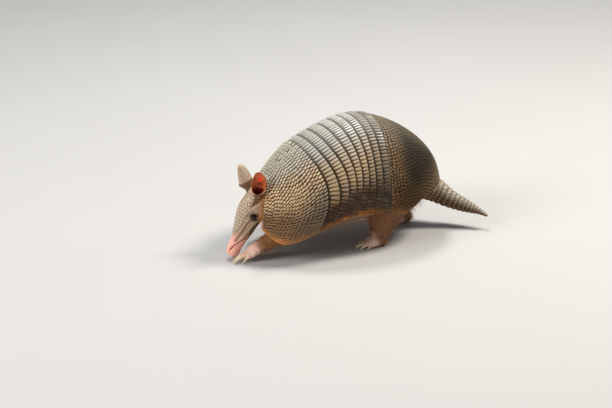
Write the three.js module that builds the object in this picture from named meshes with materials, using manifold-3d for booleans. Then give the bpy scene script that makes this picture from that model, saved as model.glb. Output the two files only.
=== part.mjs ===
// A life-size nine-banded armadillo, walking with its head down to the ground.
// Millimetres, +Z up. The head points to -Y and the animal's left side is +X.
import * as THREE from "three";
import { LoftGeometry } from "three/addons/geometries/LoftGeometry.js";
import { mergeVertices } from "three/addons/utils/BufferGeometryUtils.js";
import Module from "manifold-3d";

const wasm = await Module();
wasm.setup();

// ---- Driving dimensions ----

const GAP = 0.3; // clearance between neighbouring pieces
const LEFT = 1;
const RIGHT = -1;

// The carapace is a row of leaning rings. Each ring arches over the back from its ridge point down to
// its rim point on both sides, and bow bends its middle backwards. Ridge and rim are [y, z].
const SHELL_RINGS = [
  { at: 0.0, ridge: [-136, 113.5], rim: [-152, 46], half: 29, bow: -6 },
  { at: 0.1, ridge: [-108, 139], rim: [-131, 31], half: 61, bow: 7 },
  { at: 0.2, ridge: [-88, 153], rim: [-88, 46], half: 75, bow: 15 },
  { at: 0.42, ridge: [-25, 177], rim: [-30, 62], half: 79, bow: 8 },
  { at: 0.62, ridge: [28, 179], rim: [24, 59], half: 80, bow: -5 },
  { at: 0.8, ridge: [91, 148], rim: [48, 53], half: 77, bow: -4 },
  { at: 0.92, ridge: [124, 110], rim: [58, 52], half: 68, bow: 0 },
  { at: 1.0, ridge: [135, 79], rim: [66, 56], half: 55, bow: 0 },
];
const SHELL_CURL = THREE.MathUtils.degToRad(108); // how far round each side of a ring reaches
const SHELL_FULLNESS = 0.92; // below 1 fills out the shoulders of a ring
const PLATE_THICKNESS = 2.6;
const PLATE_STEP = 0.9; // how far a plate's rear edge stands over the next plate
const PLATE_GAP = 0.0016; // share of the shell's length left between two plates
const BAND_COUNT = 8;
const BANDS_FROM = 0.2;
const BANDS_TO = 0.62;
const RING_STEPS = 20; // facets round a ring
const SHOULDER_STEPS = 4;
const HIP_STEPS = 5;

// The head is a tapered body on a straight axis from the snout up and back to the nape.
const SNOUT = new THREE.Vector3(0, -188, 13);
const HEAD_PITCH = THREE.MathUtils.degToRad(59);
const HEAD_STATIONS = [
  { at: -5, centre: -3.8, half: 7.4, deep: 7.0 },
  { at: 0, centre: -3.6, half: 9.2, deep: 9.2 },
  { at: 8, centre: -3.0, half: 9.4, deep: 9.8 },
  { at: 20, centre: -2.8, half: 10.8, deep: 11.0 },
  { at: 32, centre: -2.6, half: 13.2, deep: 13.4 },
  { at: 45, centre: -1.4, half: 16.4, deep: 16.2 },
  { at: 58, centre: -1.0, half: 19.4, deep: 19.0 },
  { at: 72, centre: -1.6, half: 21.8, deep: 21.0 },
  { at: 86, centre: -3.2, half: 21.6, deep: 20.6 },
  { at: 98, centre: -5.4, half: 18.0, deep: 16.8 },
];
const HEAD_RINGS = 9;
const HEAD_SIDES = 14;
const SHIELD_FROM = 24;
const SHIELD_TO = 90;
const SHIELD_THICKNESS = 1.2;
const SHIELD_SPREAD = [0.62, 1.0, 1.2]; // half angle in radians at its front, middle and back
const SHIELD_STEPS = 5;
const SHIELD_SIDES = 8;
const SHIELD_STANDOFF = 1.4; // clear of the facets of the head
const EYE_FACETS = 8;
const EYE = new THREE.Vector3(15.4, -160.6, 64);
const EYE_RADIUS = 4.1;

// Each ear stands on its root, and its hollow turns towards facing.
const EARS = [
  {
    name: "ear_left",
    root: new THREE.Vector3(14, -149, 97),
    tip: new THREE.Vector3(24.5, -155.5, 129.5),
    facing: new THREE.Vector3(0.7, -0.7, 0),
  },
  {
    name: "ear_right",
    root: new THREE.Vector3(-13, -151, 95),
    tip: new THREE.Vector3(-22, -161.5, 128),
    facing: new THREE.Vector3(-0.9, -0.1, -0.3),
  },
];
const EAR_HALF = 9.8; // half the width of the leaf
const EAR_THICKNESS = 2.0;
const EAR_WRAP = [1.7, 0.6]; // half the angle its section curls through, at the root and at the tip
const EAR_LEAF = [0.2, 0.93]; // the part of a sine wave that its outline follows
const EAR_FULLNESS = 0.7; // below 1 rounds the outline out
const EAR_SET_BACK = 0.6; // share of the curl's radius by which the leaf lies behind its axis
const EAR_EDGE_THINNING = 0.45;
const EAR_RINGS = 6;
const EAR_STEPS = 4;

// Bodies of flesh: centre points with half width and half depth.
const NECK = [
  { at: [0, -104, 84], half: 32, deep: 34 },
  { at: [0, -126, 82], half: 29, deep: 30 },
  { at: [0, -141, 80], half: 23, deep: 25 },
  { at: [0, -150, 77], half: 17, deep: 19 },
];
const BELLY = [
  { at: 0.05, y: -141, z: 38 },
  { at: 0.2, y: -90, z: 34 },
  { at: 0.42, y: -28, z: 35 },
  { at: 0.62, y: 26, z: 38 },
  { at: 0.8, y: 66, z: 42 },
  { at: 0.94, y: 98, z: 51 },
];
const TRUNK_FROM = 0.09;
const TRUNK_TO = 0.91;
const TRUNK_RINGS = 7;
const TRUNK_INSET = PLATE_THICKNESS + 0.9;
const TRUNK_EDGE = 0.93; // how far down a ring the trunk follows the shell
const BACK_STEPS = 8;
const BELLY_STEPS = 6;
// Rounded ends of the trunk: [scale of the last ring, shift in y, shift in z].
const CHEST_END = [[0.8, -6, 2], [0.45, -10, 3]];
const RUMP_END = [[0.76, 11, -2], [0.5, 20, -5]];
const RUMP_RADIUS = 50; // about the size of those ends, by which they grow evenly

const TAIL = [
  { at: [2, 104, 66], half: 19 },
  { at: [5, 131, 54], half: 17.4 },
  { at: [15, 148, 42.5], half: 13.6 },
  { at: [28, 163, 34], half: 10.2 },
  { at: [42, 177, 28], half: 6.6 },
  { at: [52, 185, 24.5], half: 3.8 },
  { at: [62, 191, 20.5], half: 1.8 },
];
const TAIL_PARTS = [
  { name: "tail_base", from: 0, to: 0.48, rings: 6, sides: 12 },
  { name: "tail_mid", from: 0.484, to: 0.76, rings: 4, sides: 12 },
  { name: "tail_tip", from: 0.765, to: 1, rings: 4, sides: 10 },
];
const TAIL_STEP = 0.9; // how far every other ring of the tail's armour stands out
const TAIL_STEP_FADES = 8; // half width below which that step shrinks with the tail

const LIMBS = [
  {
    name: "foreleg_left",
    path: [
      { at: [41, -110, 60], half: 16, deep: 20 },
      { at: [35, -128, 40], half: 13, deep: 13.5 },
      { at: [27, -147, 26], half: 10, deep: 10 },
    ],
  },
  {
    name: "foreleg_right",
    path: [
      { at: [-42, -106, 60], half: 16, deep: 20 },
      { at: [-37, -94, 41], half: 13, deep: 14 },
      { at: [-31, -80, 24], half: 10, deep: 10 },
    ],
  },
  {
    name: "hindleg_left",
    path: [
      { at: [50, 42, 68], half: 17, deep: 28 },
      { at: [54, 24, 43], half: 14, deep: 22 },
      { at: [48, 24, 15], half: 9, deep: 11 },
    ],
  },
  {
    name: "hindleg_right",
    path: [
      { at: [-42, 74, 66], half: 16, deep: 26 },
      { at: [-33, 88, 42], half: 13, deep: 18 },
      { at: [-19, 99, 15], half: 9, deep: 10 },
    ],
  },
];
const LIMB_RINGS = 4;
const LIMB_SIDES = 10;

// A foot is a palm or sole with toes fanned from its knuckles, and a claw on each toe. Toes are listed
// from the inner side out: lead is how far forward of the knuckle line the toe ends, claw is its length.
const FORE_TOES = [
  { across: -0.8, lead: 2, claw: 10, thick: 2.3 },
  { across: -0.28, lead: 7, claw: 16, thick: 3.1 },
  { across: 0.28, lead: 7, claw: 17, thick: 3.2 },
  { across: 0.82, lead: 0, claw: 12, thick: 2.6 },
];
const HIND_TOES = [
  { across: -0.92, lead: 0, claw: 9, thick: 2.2 },
  { across: -0.5, lead: 6, claw: 11, thick: 2.7 },
  { across: 0.0, lead: 8, claw: 12, thick: 2.9 },
  { across: 0.5, lead: 5, claw: 11, thick: 2.7 },
  { across: 0.94, lead: -3, claw: 9, thick: 2.2 },
];
const FEET = [
  {
    name: "forefoot_left",
    side: LEFT,
    toes: FORE_TOES,
    wrist: [26, -146, 26],
    knuckle: [18, -166, 12],
    half: 11,
    wristDeep: 9.5,
    knuckleDeep: 7,
    fan: 0.1,
  },
  {
    name: "forefoot_right",
    side: RIGHT,
    toes: FORE_TOES,
    wrist: [-31, -79, 24],
    knuckle: [-31, -100, 12],
    half: 11,
    wristDeep: 9.5,
    knuckleDeep: 7,
    fan: 0.1,
  },
  {
    name: "hindfoot_left",
    side: LEFT,
    toes: HIND_TOES,
    wrist: [48, 25, 11],
    knuckle: [46, 8, 6.5],
    half: 12,
    wristDeep: 11,
    knuckleDeep: 7.5,
    fan: 0.28,
  },
  {
    name: "hindfoot_right",
    side: RIGHT,
    toes: HIND_TOES,
    wrist: [-18, 102, 11],
    knuckle: [-19, 76, 6.5],
    half: 12,
    wristDeep: 11,
    knuckleDeep: 7.5,
    fan: 0.28,
  },
];
const PALM_WRIST_HALF = 0.8; // share of the knuckles' half width
const PALM_MIDDLE = { at: 0.55, half: 0.94, deep: 0.6 };
const PALM_SIDES = 8;
const PALM_RINGS = 2;
const TOE_LENGTH = 9;
const TOE_SPREAD = 0.72; // share of the foot's half width over which the toes are set
const TOE_STAGGER = 0.35; // share of a toe's lead by which its root is moved forward
const TOE_REACH = 0.55; // share of its length from a toe's root to its claw
const TOE_LEAD_REACH = 0.5; // share of a toe's lead that is added to that
const TOE_DROP = 0.38; // how far towards the floor a toe has come down at its claw
const TOE_ROOT = 3; // how deep a toe starts inside the palm
const TOE_CUFF = 1.5; // how far a toe reaches over its claw
const TOE_FLESH = 1.0; // how much thicker than its claw a toe is
const TOE_SIDES = 6;
const CLAW_ROOT = 1; // how deep a claw starts inside its toe
const CLAW_ARCH = 0.13; // rise of its middle, as a share of its length
const CLAW_TAPER = 0.62; // below 1 keeps a claw stout towards its tip
const CLAW_NARROWNESS = 0.82; // width as a share of depth
const CLAW_TIP_HALF = 0.5;
const CLAW_SIDES = 5;
const CLAW_RINGS = 3;
const FINE_ENDS = [0.45, 0.84]; // sizes of the smaller rings that round off an end
const PLAIN_ENDS = [0.72];
const CLAW_TIP_DEEP = 0.6;
const CLAW_TIP_Z = 0.2; // the middle of a claw's tip, so that the floor cuts its underside flat
const FLOOR_DEPTH = 40;
const FLOOR_WIDTH = 600;

const COLOURS = {
  armour: 0x8f7d66,
  shield: 0xb5a08c,
  face: 0xb98f7c,
  skin: 0x9a6f55,
  leg: 0x8a5a35,
  ear: 0xc4673f,
  eye: 0x17110e,
  claw: 0xe6d2b8,
  tail: 0xa58f78,
};

// ---- Curves ----

// A natural cubic spline through the values at the knots.
class Spline {
  constructor(knots, values) {
    this.knots = knots;
    this.values = values;
    this.bends = Spline.bends(knots, values);
  }

  static bends(knots, values) {
    const count = knots.length;
    const bends = new Array(count).fill(0);
    const upper = new Array(count).fill(0);
    const right = new Array(count).fill(0);
    for (let i = 1; i < count - 1; i++) {
      const before = knots[i] - knots[i - 1];
      const after = knots[i + 1] - knots[i];
      const turn = (values[i + 1] - values[i]) / after - (values[i] - values[i - 1]) / before;
      const pivot = 2 * (before + after) - before * upper[i - 1];
      upper[i] = after / pivot;
      right[i] = (6 * turn - before * right[i - 1]) / pivot;
    }
    for (let i = count - 2; i > 0; i--) {
      bends[i] = right[i] - upper[i] * bends[i + 1];
    }
    return bends;
  }

  at(place) {
    let i = 0;
    while (i < this.knots.length - 2 && place > this.knots[i + 1]) i++;
    const width = this.knots[i + 1] - this.knots[i];
    const b = (place - this.knots[i]) / width;
    const a = 1 - b;
    const bend = (a ** 3 - a) * this.bends[i] + (b ** 3 - b) * this.bends[i + 1];
    return a * this.values[i] + b * this.values[i + 1] + (bend * width * width) / 6;
  }
}

const splineOf = (stations, pick) => new Spline(stations.map((s) => s.at), stations.map(pick));

const lerp = THREE.MathUtils.lerp;

// ---- Solids ----

// The closed solid of a geometry, turned right side out.
function solidOf(geometry) {
  const flat = (geometry.index ? geometry.toNonIndexed() : geometry).clone();
  flat.deleteAttribute("normal");
  flat.deleteAttribute("uv");
  const merged = mergeVertices(flat, 1e-3);
  const triangles = [];
  for (let i = 0; i < merged.index.count; i += 3) {
    const [a, b, c] = [0, 1, 2].map((k) => merged.index.getX(i + k));
    if (a !== b && b !== c && c !== a) triangles.push(a, b, c);
  }
  const build = (order) => new wasm.Manifold(
    new wasm.Mesh({
      numProp: 3,
      vertProperties: merged.attributes.position.array,
      triVerts: new Uint32Array(order),
    }),
  );
  const solid = build(triangles);
  return solid.volume() > 0 ? solid : build(triangles.reverse());
}

// The geometry of a solid, for a mesh.
function geometryOf(solid) {
  const mesh = solid.getMesh();
  const points = new Float32Array(mesh.numVert * 3);
  for (let i = 0; i < mesh.numVert; i++) {
    const start = i * mesh.numProp;
    points.set(mesh.vertProperties.subarray(start, start + 3), i * 3);
  }
  const geometry = new THREE.BufferGeometry();
  geometry.setAttribute("position", new THREE.BufferAttribute(points, 3));
  geometry.setIndex(new THREE.BufferAttribute(new Uint32Array(mesh.triVerts), 1));
  geometry.computeVertexNormals();
  return geometry;
}

// What is left of a solid once its neighbours are cut out of it: its largest piece.
function carved(solid, ...neighbours) {
  const cut = neighbours.reduce((left, other) => left.subtract(other), solid);
  return cut.decompose().reduce((best, piece) => (piece.volume() > best.volume() ? piece : best));
}

// A block under the floor, which cuts feet and claws to one level.
function floorBlock() {
  const block = new THREE.BoxGeometry(FLOOR_WIDTH, FLOOR_WIDTH, FLOOR_DEPTH);
  block.translate(0, 0, -FLOOR_DEPTH / 2);
  return solidOf(block);
}

// A ring pinched shut: each point meets the one that lies across the ring from it.
const pinched = (ring) => ring.map((p, i) => p.clone().lerp(ring[ring.length - 1 - i], 0.5));

// The closed solid through a row of sections, which all run the same way round, with pinched ends.
function loft(sections) {
  const [first, second] = sections;
  const turn = new THREE.Vector3();
  first.forEach((p, i) => turn.add(new THREE.Vector3().crossVectors(p, first[(i + 1) % first.length])));
  const onward = new THREE.Vector3();
  first.forEach((p, i) => onward.add(second[i]).sub(p));
  const closed = [pinched(first), ...sections, pinched(sections[sections.length - 1])];
  const rings = turn.dot(onward) > 0 ? closed : closed.map((ring) => [...ring].reverse());
  return solidOf(new LoftGeometry(rings));
}

// Sections of a tube along a centre line. Each is square to the line, with its width level.
// place(t) gives { centre, half, deep } for t from 0 to 1. Each end is rounded by smaller rings, at the
// shares of its size listed in ends, that bulge outwards by round. No ends leaves it flat.
function tubeSections(place, { rings, sides, ends = [], round = 0.6, grow = 0 }) {
  const sections = [];
  const step = 1e-3;
  const level = new THREE.Vector3(1, 0, 0);
  const bulge = (scale, deep) => grow + Math.sqrt(1 - scale * scale) * deep * round;
  const ring = (t, scale, shift) => {
    const here = place(t);
    const along = place(Math.min(1, t + step)).centre.clone();
    along.sub(place(Math.max(0, t - step)).centre).normalize();
    const across = level.clone().addScaledVector(along, -level.dot(along)).normalize();
    const up = new THREE.Vector3().crossVectors(along, across);
    const middle = here.centre.clone().addScaledVector(along, shift);
    const points = [];
    for (let i = 0; i < sides; i++) {
      const angle = (i / sides) * Math.PI * 2;
      const point = middle.clone();
      point.addScaledVector(across, Math.cos(angle) * (here.half * scale + grow));
      point.addScaledVector(up, Math.sin(angle) * (here.deep * scale + grow));
      points.push(point);
    }
    sections.push(points);
  };
  const flat = ends.length === 0 ? grow : 0;
  ends.forEach((scale) => ring(0, scale, -bulge(scale, place(0).deep)));
  ring(0, 1, -flat);
  for (let i = 1; i < rings; i++) ring(i / rings, 1, 0);
  ring(1, 1, flat);
  [...ends].reverse().forEach((scale) => ring(1, scale, bulge(scale, place(1).deep)));
  return sections;
}

function tube(place, options) {
  return loft(tubeSections(place, options));
}

// A smooth centre line through stations, each { at: [x, y, z], half, deep }.
function pathOf(stations) {
  const knots = stations.map((s, i) => i / (stations.length - 1));
  const [x, y, z] = [0, 1, 2].map((axis) => new Spline(knots, stations.map((s) => s.at[axis])));
  const half = new Spline(knots, stations.map((s) => s.half));
  const deep = new Spline(knots, stations.map((s) => s.deep ?? s.half));
  return (t) => ({
    centre: new THREE.Vector3(x.at(t), y.at(t), z.at(t)),
    half: half.at(t),
    deep: deep.at(t),
  });
}

// ---- Carapace ----

const shellCurves = {
  ridgeY: splineOf(SHELL_RINGS, (r) => r.ridge[0]),
  ridgeZ: splineOf(SHELL_RINGS, (r) => r.ridge[1]),
  rimY: splineOf(SHELL_RINGS, (r) => r.rim[0]),
  rimZ: splineOf(SHELL_RINGS, (r) => r.rim[1]),
  half: splineOf(SHELL_RINGS, (r) => r.half),
  bow: splineOf(SHELL_RINGS, (r) => r.bow),
};

// A point of the carapace: along runs from the nape at 0 to the tail at 1, and round from the right
// rim at -1 over the ridge to the left rim at 1.
function shellSurface(along, round) {
  const angle = Math.abs(round) * SHELL_CURL;
  const drop = (1 - Math.cos(angle)) / (1 - Math.cos(SHELL_CURL));
  const half = shellCurves.half.at(along);
  const bow = shellCurves.bow.at(along) * Math.sin(Math.PI * drop);
  return new THREE.Vector3(
    Math.sign(round) * half * Math.sin(angle) ** SHELL_FULLNESS,
    lerp(shellCurves.ridgeY.at(along), shellCurves.rimY.at(along), drop) + bow,
    lerp(shellCurves.ridgeZ.at(along), shellCurves.rimZ.at(along), drop),
  );
}

// The same point, raised off the surface.
function shellPoint(along, round, lift) {
  const step = 2e-3;
  const ahead = shellSurface(along + step, round).sub(shellSurface(along - step, round));
  const aside = shellSurface(along, round + step).sub(shellSurface(along, round - step));
  const normal = new THREE.Vector3().crossVectors(aside, ahead).normalize();
  return shellSurface(along, round).addScaledVector(normal, lift);
}

// One closed plate of the carapace, from one place along it to another. Its rear edge is raised.
// A grown plate is thicker on both faces and reaches past its edges, to cut room for the real one.
function shellPlate(from, to, steps, grow = 0) {
  const sections = [];
  const past = grow > 0 ? 3 * PLATE_GAP : 0;
  const reach = 1 + (2 * grow) / shellCurves.half.at(from);
  for (let j = 0; j <= RING_STEPS; j++) {
    const round = lerp(-reach, reach, j / RING_STEPS);
    const outer = [];
    const inner = [];
    for (let i = 0; i <= steps; i++) {
      const along = lerp(from - past, to + past, i / steps);
      outer.push(shellPoint(along, round, (PLATE_STEP * i) / steps + grow));
      inner.unshift(shellPoint(along, round, -PLATE_THICKNESS - grow));
    }
    sections.push([...outer, ...inner]);
  }
  return loft(sections);
}

function shellPlates() {
  const plates = [["scapular_shield", shellPlate(0, BANDS_FROM, SHOULDER_STEPS)]];
  const width = (BANDS_TO - BANDS_FROM) / BAND_COUNT;
  for (let i = 0; i < BAND_COUNT; i++) {
    const from = BANDS_FROM + width * i;
    plates.push([`band_${i + 1}`, shellPlate(from + PLATE_GAP, from + width, 1)]);
  }
  plates.push(["pelvic_shield", shellPlate(BANDS_TO + PLATE_GAP, 1, HIP_STEPS)]);
  return plates;
}

// ---- Head ----

const headAxis = new THREE.Vector3(0, Math.cos(HEAD_PITCH), Math.sin(HEAD_PITCH));
const headUp = new THREE.Vector3(0, -Math.sin(HEAD_PITCH), Math.cos(HEAD_PITCH));
const headCurves = {
  centre: splineOf(HEAD_STATIONS, (s) => s.centre),
  half: splineOf(HEAD_STATIONS, (s) => s.half),
  deep: splineOf(HEAD_STATIONS, (s) => s.deep),
};

// A point of the head's surface: along in millimetres from the snout, angle from the crown.
function headPoint(along, angle, lift) {
  const point = SNOUT.clone().addScaledVector(headAxis, along);
  point.x += Math.sin(angle) * (headCurves.half.at(along) + lift);
  return point.addScaledVector(
    headUp,
    headCurves.centre.at(along) + Math.cos(angle) * (headCurves.deep.at(along) + lift),
  );
}

function headSolid(grow) {
  const first = HEAD_STATIONS[0].at;
  const last = HEAD_STATIONS[HEAD_STATIONS.length - 1].at;
  const place = (t) => {
    const along = lerp(first, last, t);
    const centre = SNOUT.clone().addScaledVector(headAxis, along);
    return {
      centre: centre.addScaledVector(headUp, headCurves.centre.at(along)),
      half: headCurves.half.at(along),
      deep: headCurves.deep.at(along),
    };
  };
  return tube(place, { rings: HEAD_RINGS, sides: HEAD_SIDES, ends: FINE_ENDS, round: 0.35, grow });
}

// The horny plate over the brow and crown, curved to the head with a gap under it.
function headShield() {
  const spread = new Spline([0, 0.5, 1], SHIELD_SPREAD);
  const sections = [];
  for (let i = 0; i <= SHIELD_STEPS; i++) {
    const share = i / SHIELD_STEPS;
    const along = lerp(SHIELD_FROM, SHIELD_TO, share);
    const outer = [];
    const inner = [];
    for (let j = 0; j <= SHIELD_SIDES; j++) {
      const angle = lerp(-1, 1, j / SHIELD_SIDES) * spread.at(share);
      outer.push(headPoint(along, angle, SHIELD_STANDOFF + SHIELD_THICKNESS));
      inner.unshift(headPoint(along, angle, SHIELD_STANDOFF));
    }
    sections.push([...outer, ...inner]);
  }
  return loft(sections);
}

function eyeSolid(side, grow) {
  const ball = new THREE.SphereGeometry(EYE_RADIUS + grow, EYE_FACETS, EYE_FACETS / 2);
  ball.translate(side * EYE.x, EYE.y, EYE.z);
  return solidOf(ball);
}

// One section of an ear: a thin arc, thinner towards both edges, as a closed ring.
function earSection(ear, share, grow) {
  const rise = ear.tip.clone().sub(ear.root);
  const up = rise.clone().normalize();
  const front = ear.facing.clone().addScaledVector(up, -ear.facing.dot(up)).normalize();
  const across = new THREE.Vector3().crossVectors(up, front);
  const leaf = Math.sin(Math.PI * lerp(...EAR_LEAF, share)) ** EAR_FULLNESS;
  const wrap = lerp(...EAR_WRAP, share);
  const radius = (EAR_HALF * leaf) / Math.sin(Math.min(wrap, Math.PI / 2));
  const centre = ear.root.clone().addScaledVector(rise, share);
  centre.addScaledVector(front, radius * EAR_SET_BACK);
  const outer = [];
  const inner = [];
  for (let j = 0; j <= EAR_STEPS; j++) {
    const aside = lerp(-1, 1, j / EAR_STEPS);
    const angle = aside * wrap;
    const ray = across.clone().multiplyScalar(Math.sin(angle)).addScaledVector(front, -Math.cos(angle));
    const skin = (EAR_THICKNESS / 2) * (1 - EAR_EDGE_THINNING * Math.abs(aside) ** 3) + grow;
    outer.push(centre.clone().addScaledVector(ray, radius + skin));
    inner.unshift(centre.clone().addScaledVector(ray, radius - skin));
  }
  return [...outer, ...inner];
}

function earSolid(ear, grow) {
  const sections = [];
  for (let i = 0; i <= EAR_RINGS; i++) sections.push(earSection(ear, i / EAR_RINGS, grow));
  return loft(sections);
}

// ---- Trunk, neck and tail ----

const bellyY = splineOf(BELLY, (s) => s.y);
const bellyZ = splineOf(BELLY, (s) => s.z);

// One closed ring of the trunk: under the shell from rim to rim, then round the belly.
function trunkRing(along, grow) {
  const points = [];
  for (let j = 0; j <= BACK_STEPS; j++) {
    points.push(shellPoint(along, lerp(-TRUNK_EDGE, TRUNK_EDGE, j / BACK_STEPS), grow - TRUNK_INSET));
  }
  const edge = points[points.length - 1];
  for (let j = 1; j < BELLY_STEPS; j++) {
    const angle = (j / BELLY_STEPS) * Math.PI;
    const sag = Math.sin(angle);
    points.push(
      new THREE.Vector3(
        edge.x * Math.cos(angle),
        lerp(edge.y, bellyY.at(along), sag),
        lerp(edge.z, bellyZ.at(along) - grow, sag),
      ),
    );
  }
  return points;
}

function shrunkRing(ring, [scale, shiftY, shiftZ], grow) {
  const middle = ring.reduce((sum, p) => sum.add(p), new THREE.Vector3()).divideScalar(ring.length);
  const longer = 1 + grow / Math.hypot(shiftY, shiftZ);
  const shift = new THREE.Vector3(0, shiftY, shiftZ).multiplyScalar(longer);
  const size = scale + grow / RUMP_RADIUS;
  return ring.map((p) => p.clone().sub(middle).multiplyScalar(size).add(middle).add(shift));
}

function trunkSolid(grow) {
  const rings = [];
  for (let i = 0; i <= TRUNK_RINGS; i++) {
    rings.push(trunkRing(lerp(TRUNK_FROM, TRUNK_TO, i / TRUNK_RINGS), grow));
  }
  const chest = CHEST_END.map((end) => shrunkRing(rings[0], end, grow)).reverse();
  const rump = RUMP_END.map((end) => shrunkRing(rings[TRUNK_RINGS], end, grow));
  const sections = [...chest, ...rings, ...rump];
  return loft(sections);
}

function neckSolid(grow) {
  return tube(pathOf(NECK), { rings: 4, sides: 12, ends: PLAIN_ENDS, round: 0.3, grow });
}

// One length of the tail, with its armour in steps.
function tailPart({ from, to, rings, sides }) {
  const line = pathOf(TAIL);
  const place = (t) => {
    const here = line(lerp(from, to, t));
    const step = TAIL_STEP * Math.min(1, here.half / TAIL_STEP_FADES);
    const notch = Math.round(t * rings) % 2 === 0 ? 0 : step;
    return { centre: here.centre, half: here.half + notch, deep: here.deep + notch };
  };
  return tube(place, { rings, sides });
}

// ---- Feet and claws ----

// Where a toe leaves the foot, which way it points, and where its claw starts and ends.
function toeLine(foot, toe) {
  const knuckle = new THREE.Vector3(...foot.knuckle);
  const start = knuckle.clone();
  start.x += foot.side * toe.across * foot.half * TOE_SPREAD;
  start.y -= toe.lead * TOE_STAGGER;
  const heading = new THREE.Vector3(foot.side * toe.across * foot.fan, -1, 0).normalize();
  const reach = TOE_LENGTH * TOE_REACH + toe.lead * TOE_LEAD_REACH;
  const claw = start.clone().addScaledVector(heading, reach);
  claw.z = lerp(knuckle.z, toe.thick, TOE_DROP);
  const tip = claw.clone().addScaledVector(heading, toe.claw);
  tip.z = CLAW_TIP_Z;
  return { start, claw, tip, heading };
}

function toeSolid(foot, toe, grow) {
  const { start, claw, heading } = toeLine(foot, toe);
  const root = start.clone().addScaledVector(heading, -TOE_ROOT);
  const end = claw.clone().addScaledVector(heading, TOE_CUFF);
  const thick = toe.thick + TOE_FLESH;
  const line = (t) => ({ centre: root.clone().lerp(end, t), half: thick, deep: thick });
  return tube(line, { rings: 1, sides: TOE_SIDES, ends: PLAIN_ENDS, round: 0.4, grow });
}

function footSolid(foot, grow) {
  const palm = pathOf([
    { at: foot.wrist, half: foot.half * PALM_WRIST_HALF, deep: foot.wristDeep },
    {
      at: foot.wrist.map((value, i) => lerp(value, foot.knuckle[i], PALM_MIDDLE.at)),
      half: foot.half * PALM_MIDDLE.half,
      deep: lerp(foot.wristDeep, foot.knuckleDeep, PALM_MIDDLE.deep),
    },
    { at: foot.knuckle, half: foot.half, deep: foot.knuckleDeep },
  ]);
  const sole = tube(palm, { rings: PALM_RINGS, sides: PALM_SIDES, ends: PLAIN_ENDS, grow });
  return foot.toes.reduce((whole, toe) => whole.add(toeSolid(foot, toe, grow)), sole);
}

// A claw: a curved spike, deeper than it is wide, from inside the toe down to the floor.
function clawSolid(foot, toe) {
  const { claw, tip, heading } = toeLine(foot, toe);
  const root = claw.clone().addScaledVector(heading, -CLAW_ROOT);
  const line = (t) => {
    const centre = root.clone().lerp(tip, t);
    centre.z += Math.sin(Math.PI * t) * toe.claw * CLAW_ARCH;
    const taper = (1 - t) ** CLAW_TAPER;
    return {
      centre,
      half: lerp(CLAW_TIP_HALF, toe.thick * CLAW_NARROWNESS, taper),
      deep: lerp(CLAW_TIP_DEEP, toe.thick, taper),
    };
  };
  return tube(line, { rings: CLAW_RINGS, sides: CLAW_SIDES });
}

// ---- Assembly ----

const finish = (color, roughness, metalness = 0) => new THREE.MeshStandardMaterial({
  color,
  roughness,
  metalness,
});

const body = new THREE.Group();

function addNode(name, solid, material) {
  const mesh = new THREE.Mesh(geometryOf(solid), material);
  mesh.name = name;
  body.add(mesh);
}

const armour = () => finish(COLOURS.armour, 0.45);
shellPlates().forEach(([name, plate]) => addNode(name, plate, armour()));

const SIDES = [["left", LEFT], ["right", RIGHT]];
const head = headSolid(0);
const grownHead = headSolid(GAP);
const grownTrunk = trunkSolid(2 * GAP);
const shoulderShell = shellPlate(0, BANDS_FROM, SHOULDER_STEPS, 2 * GAP);
const hipShell = shellPlate(BANDS_TO, 1, HIP_STEPS, 2 * GAP);
const sockets = SIDES.map(([, side]) => eyeSolid(side, GAP));
const grownEars = EARS.map((ear) => earSolid(ear, GAP));

addNode("head", carved(head, ...sockets), finish(COLOURS.face, 0.6));
addNode("head_shield", carved(headShield(), ...grownEars), finish(COLOURS.shield, 0.5));
SIDES.forEach(([name, side]) => {
  addNode(`eye_${name}`, eyeSolid(side, 0), finish(COLOURS.eye, 0.1));
});
EARS.forEach((ear) => {
  addNode(ear.name, carved(earSolid(ear, 0), grownHead), finish(COLOURS.ear, 0.55));
});
addNode("neck", carved(neckSolid(0), grownHead, grownTrunk, ...grownEars), finish(COLOURS.skin, 0.7));
addNode("trunk", carved(trunkSolid(0), grownHead, hipShell), finish(COLOURS.skin, 0.7));

TAIL_PARTS.forEach((part) => {
  addNode(part.name, carved(tailPart(part), grownTrunk), finish(COLOURS.tail, 0.5));
});

const floor = floorBlock();
LIMBS.forEach((limb, i) => {
  const line = pathOf(limb.path);
  const shape = { rings: LIMB_RINGS, sides: LIMB_SIDES };
  const foot = FEET[i];
  const grownFoot = footSolid(foot, GAP);
  const leg = carved(tube(line, shape), grownTrunk, grownFoot, shoulderShell, hipShell);
  addNode(limb.name, leg, finish(COLOURS.leg, 0.75));
  addNode(foot.name, carved(footSolid(foot, 0), floor, grownTrunk), finish(COLOURS.leg, 0.65));
  foot.toes.forEach((toe, k) => {
    const claw = carved(clawSolid(foot, toe), grownFoot, floor);
    addNode(`${foot.name}_claw_${k + 1}`, claw, finish(COLOURS.claw, 0.35));
  });
});

// The frame's origin is on the floor, under the middle of the animal.
const extent = new THREE.Box3().setFromObject(body);
const middle = extent.getCenter(new THREE.Vector3());
body.position.set(-middle.x, -middle.y, -extent.min.z);

const armadillo = new THREE.Group();
armadillo.add(body);

export default armadillo;
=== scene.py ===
"""Looks of a life-size nine-banded armadillo that walks with its snout down to the ground.

The animal is described in millimetres in its design frame (+Z up, head to -Y, left flank to +X).
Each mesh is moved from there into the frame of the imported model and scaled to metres.
"""

import logging
import math
from dataclasses import dataclass, field
from enum import Enum, IntEnum
from typing import Sequence, Union

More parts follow.
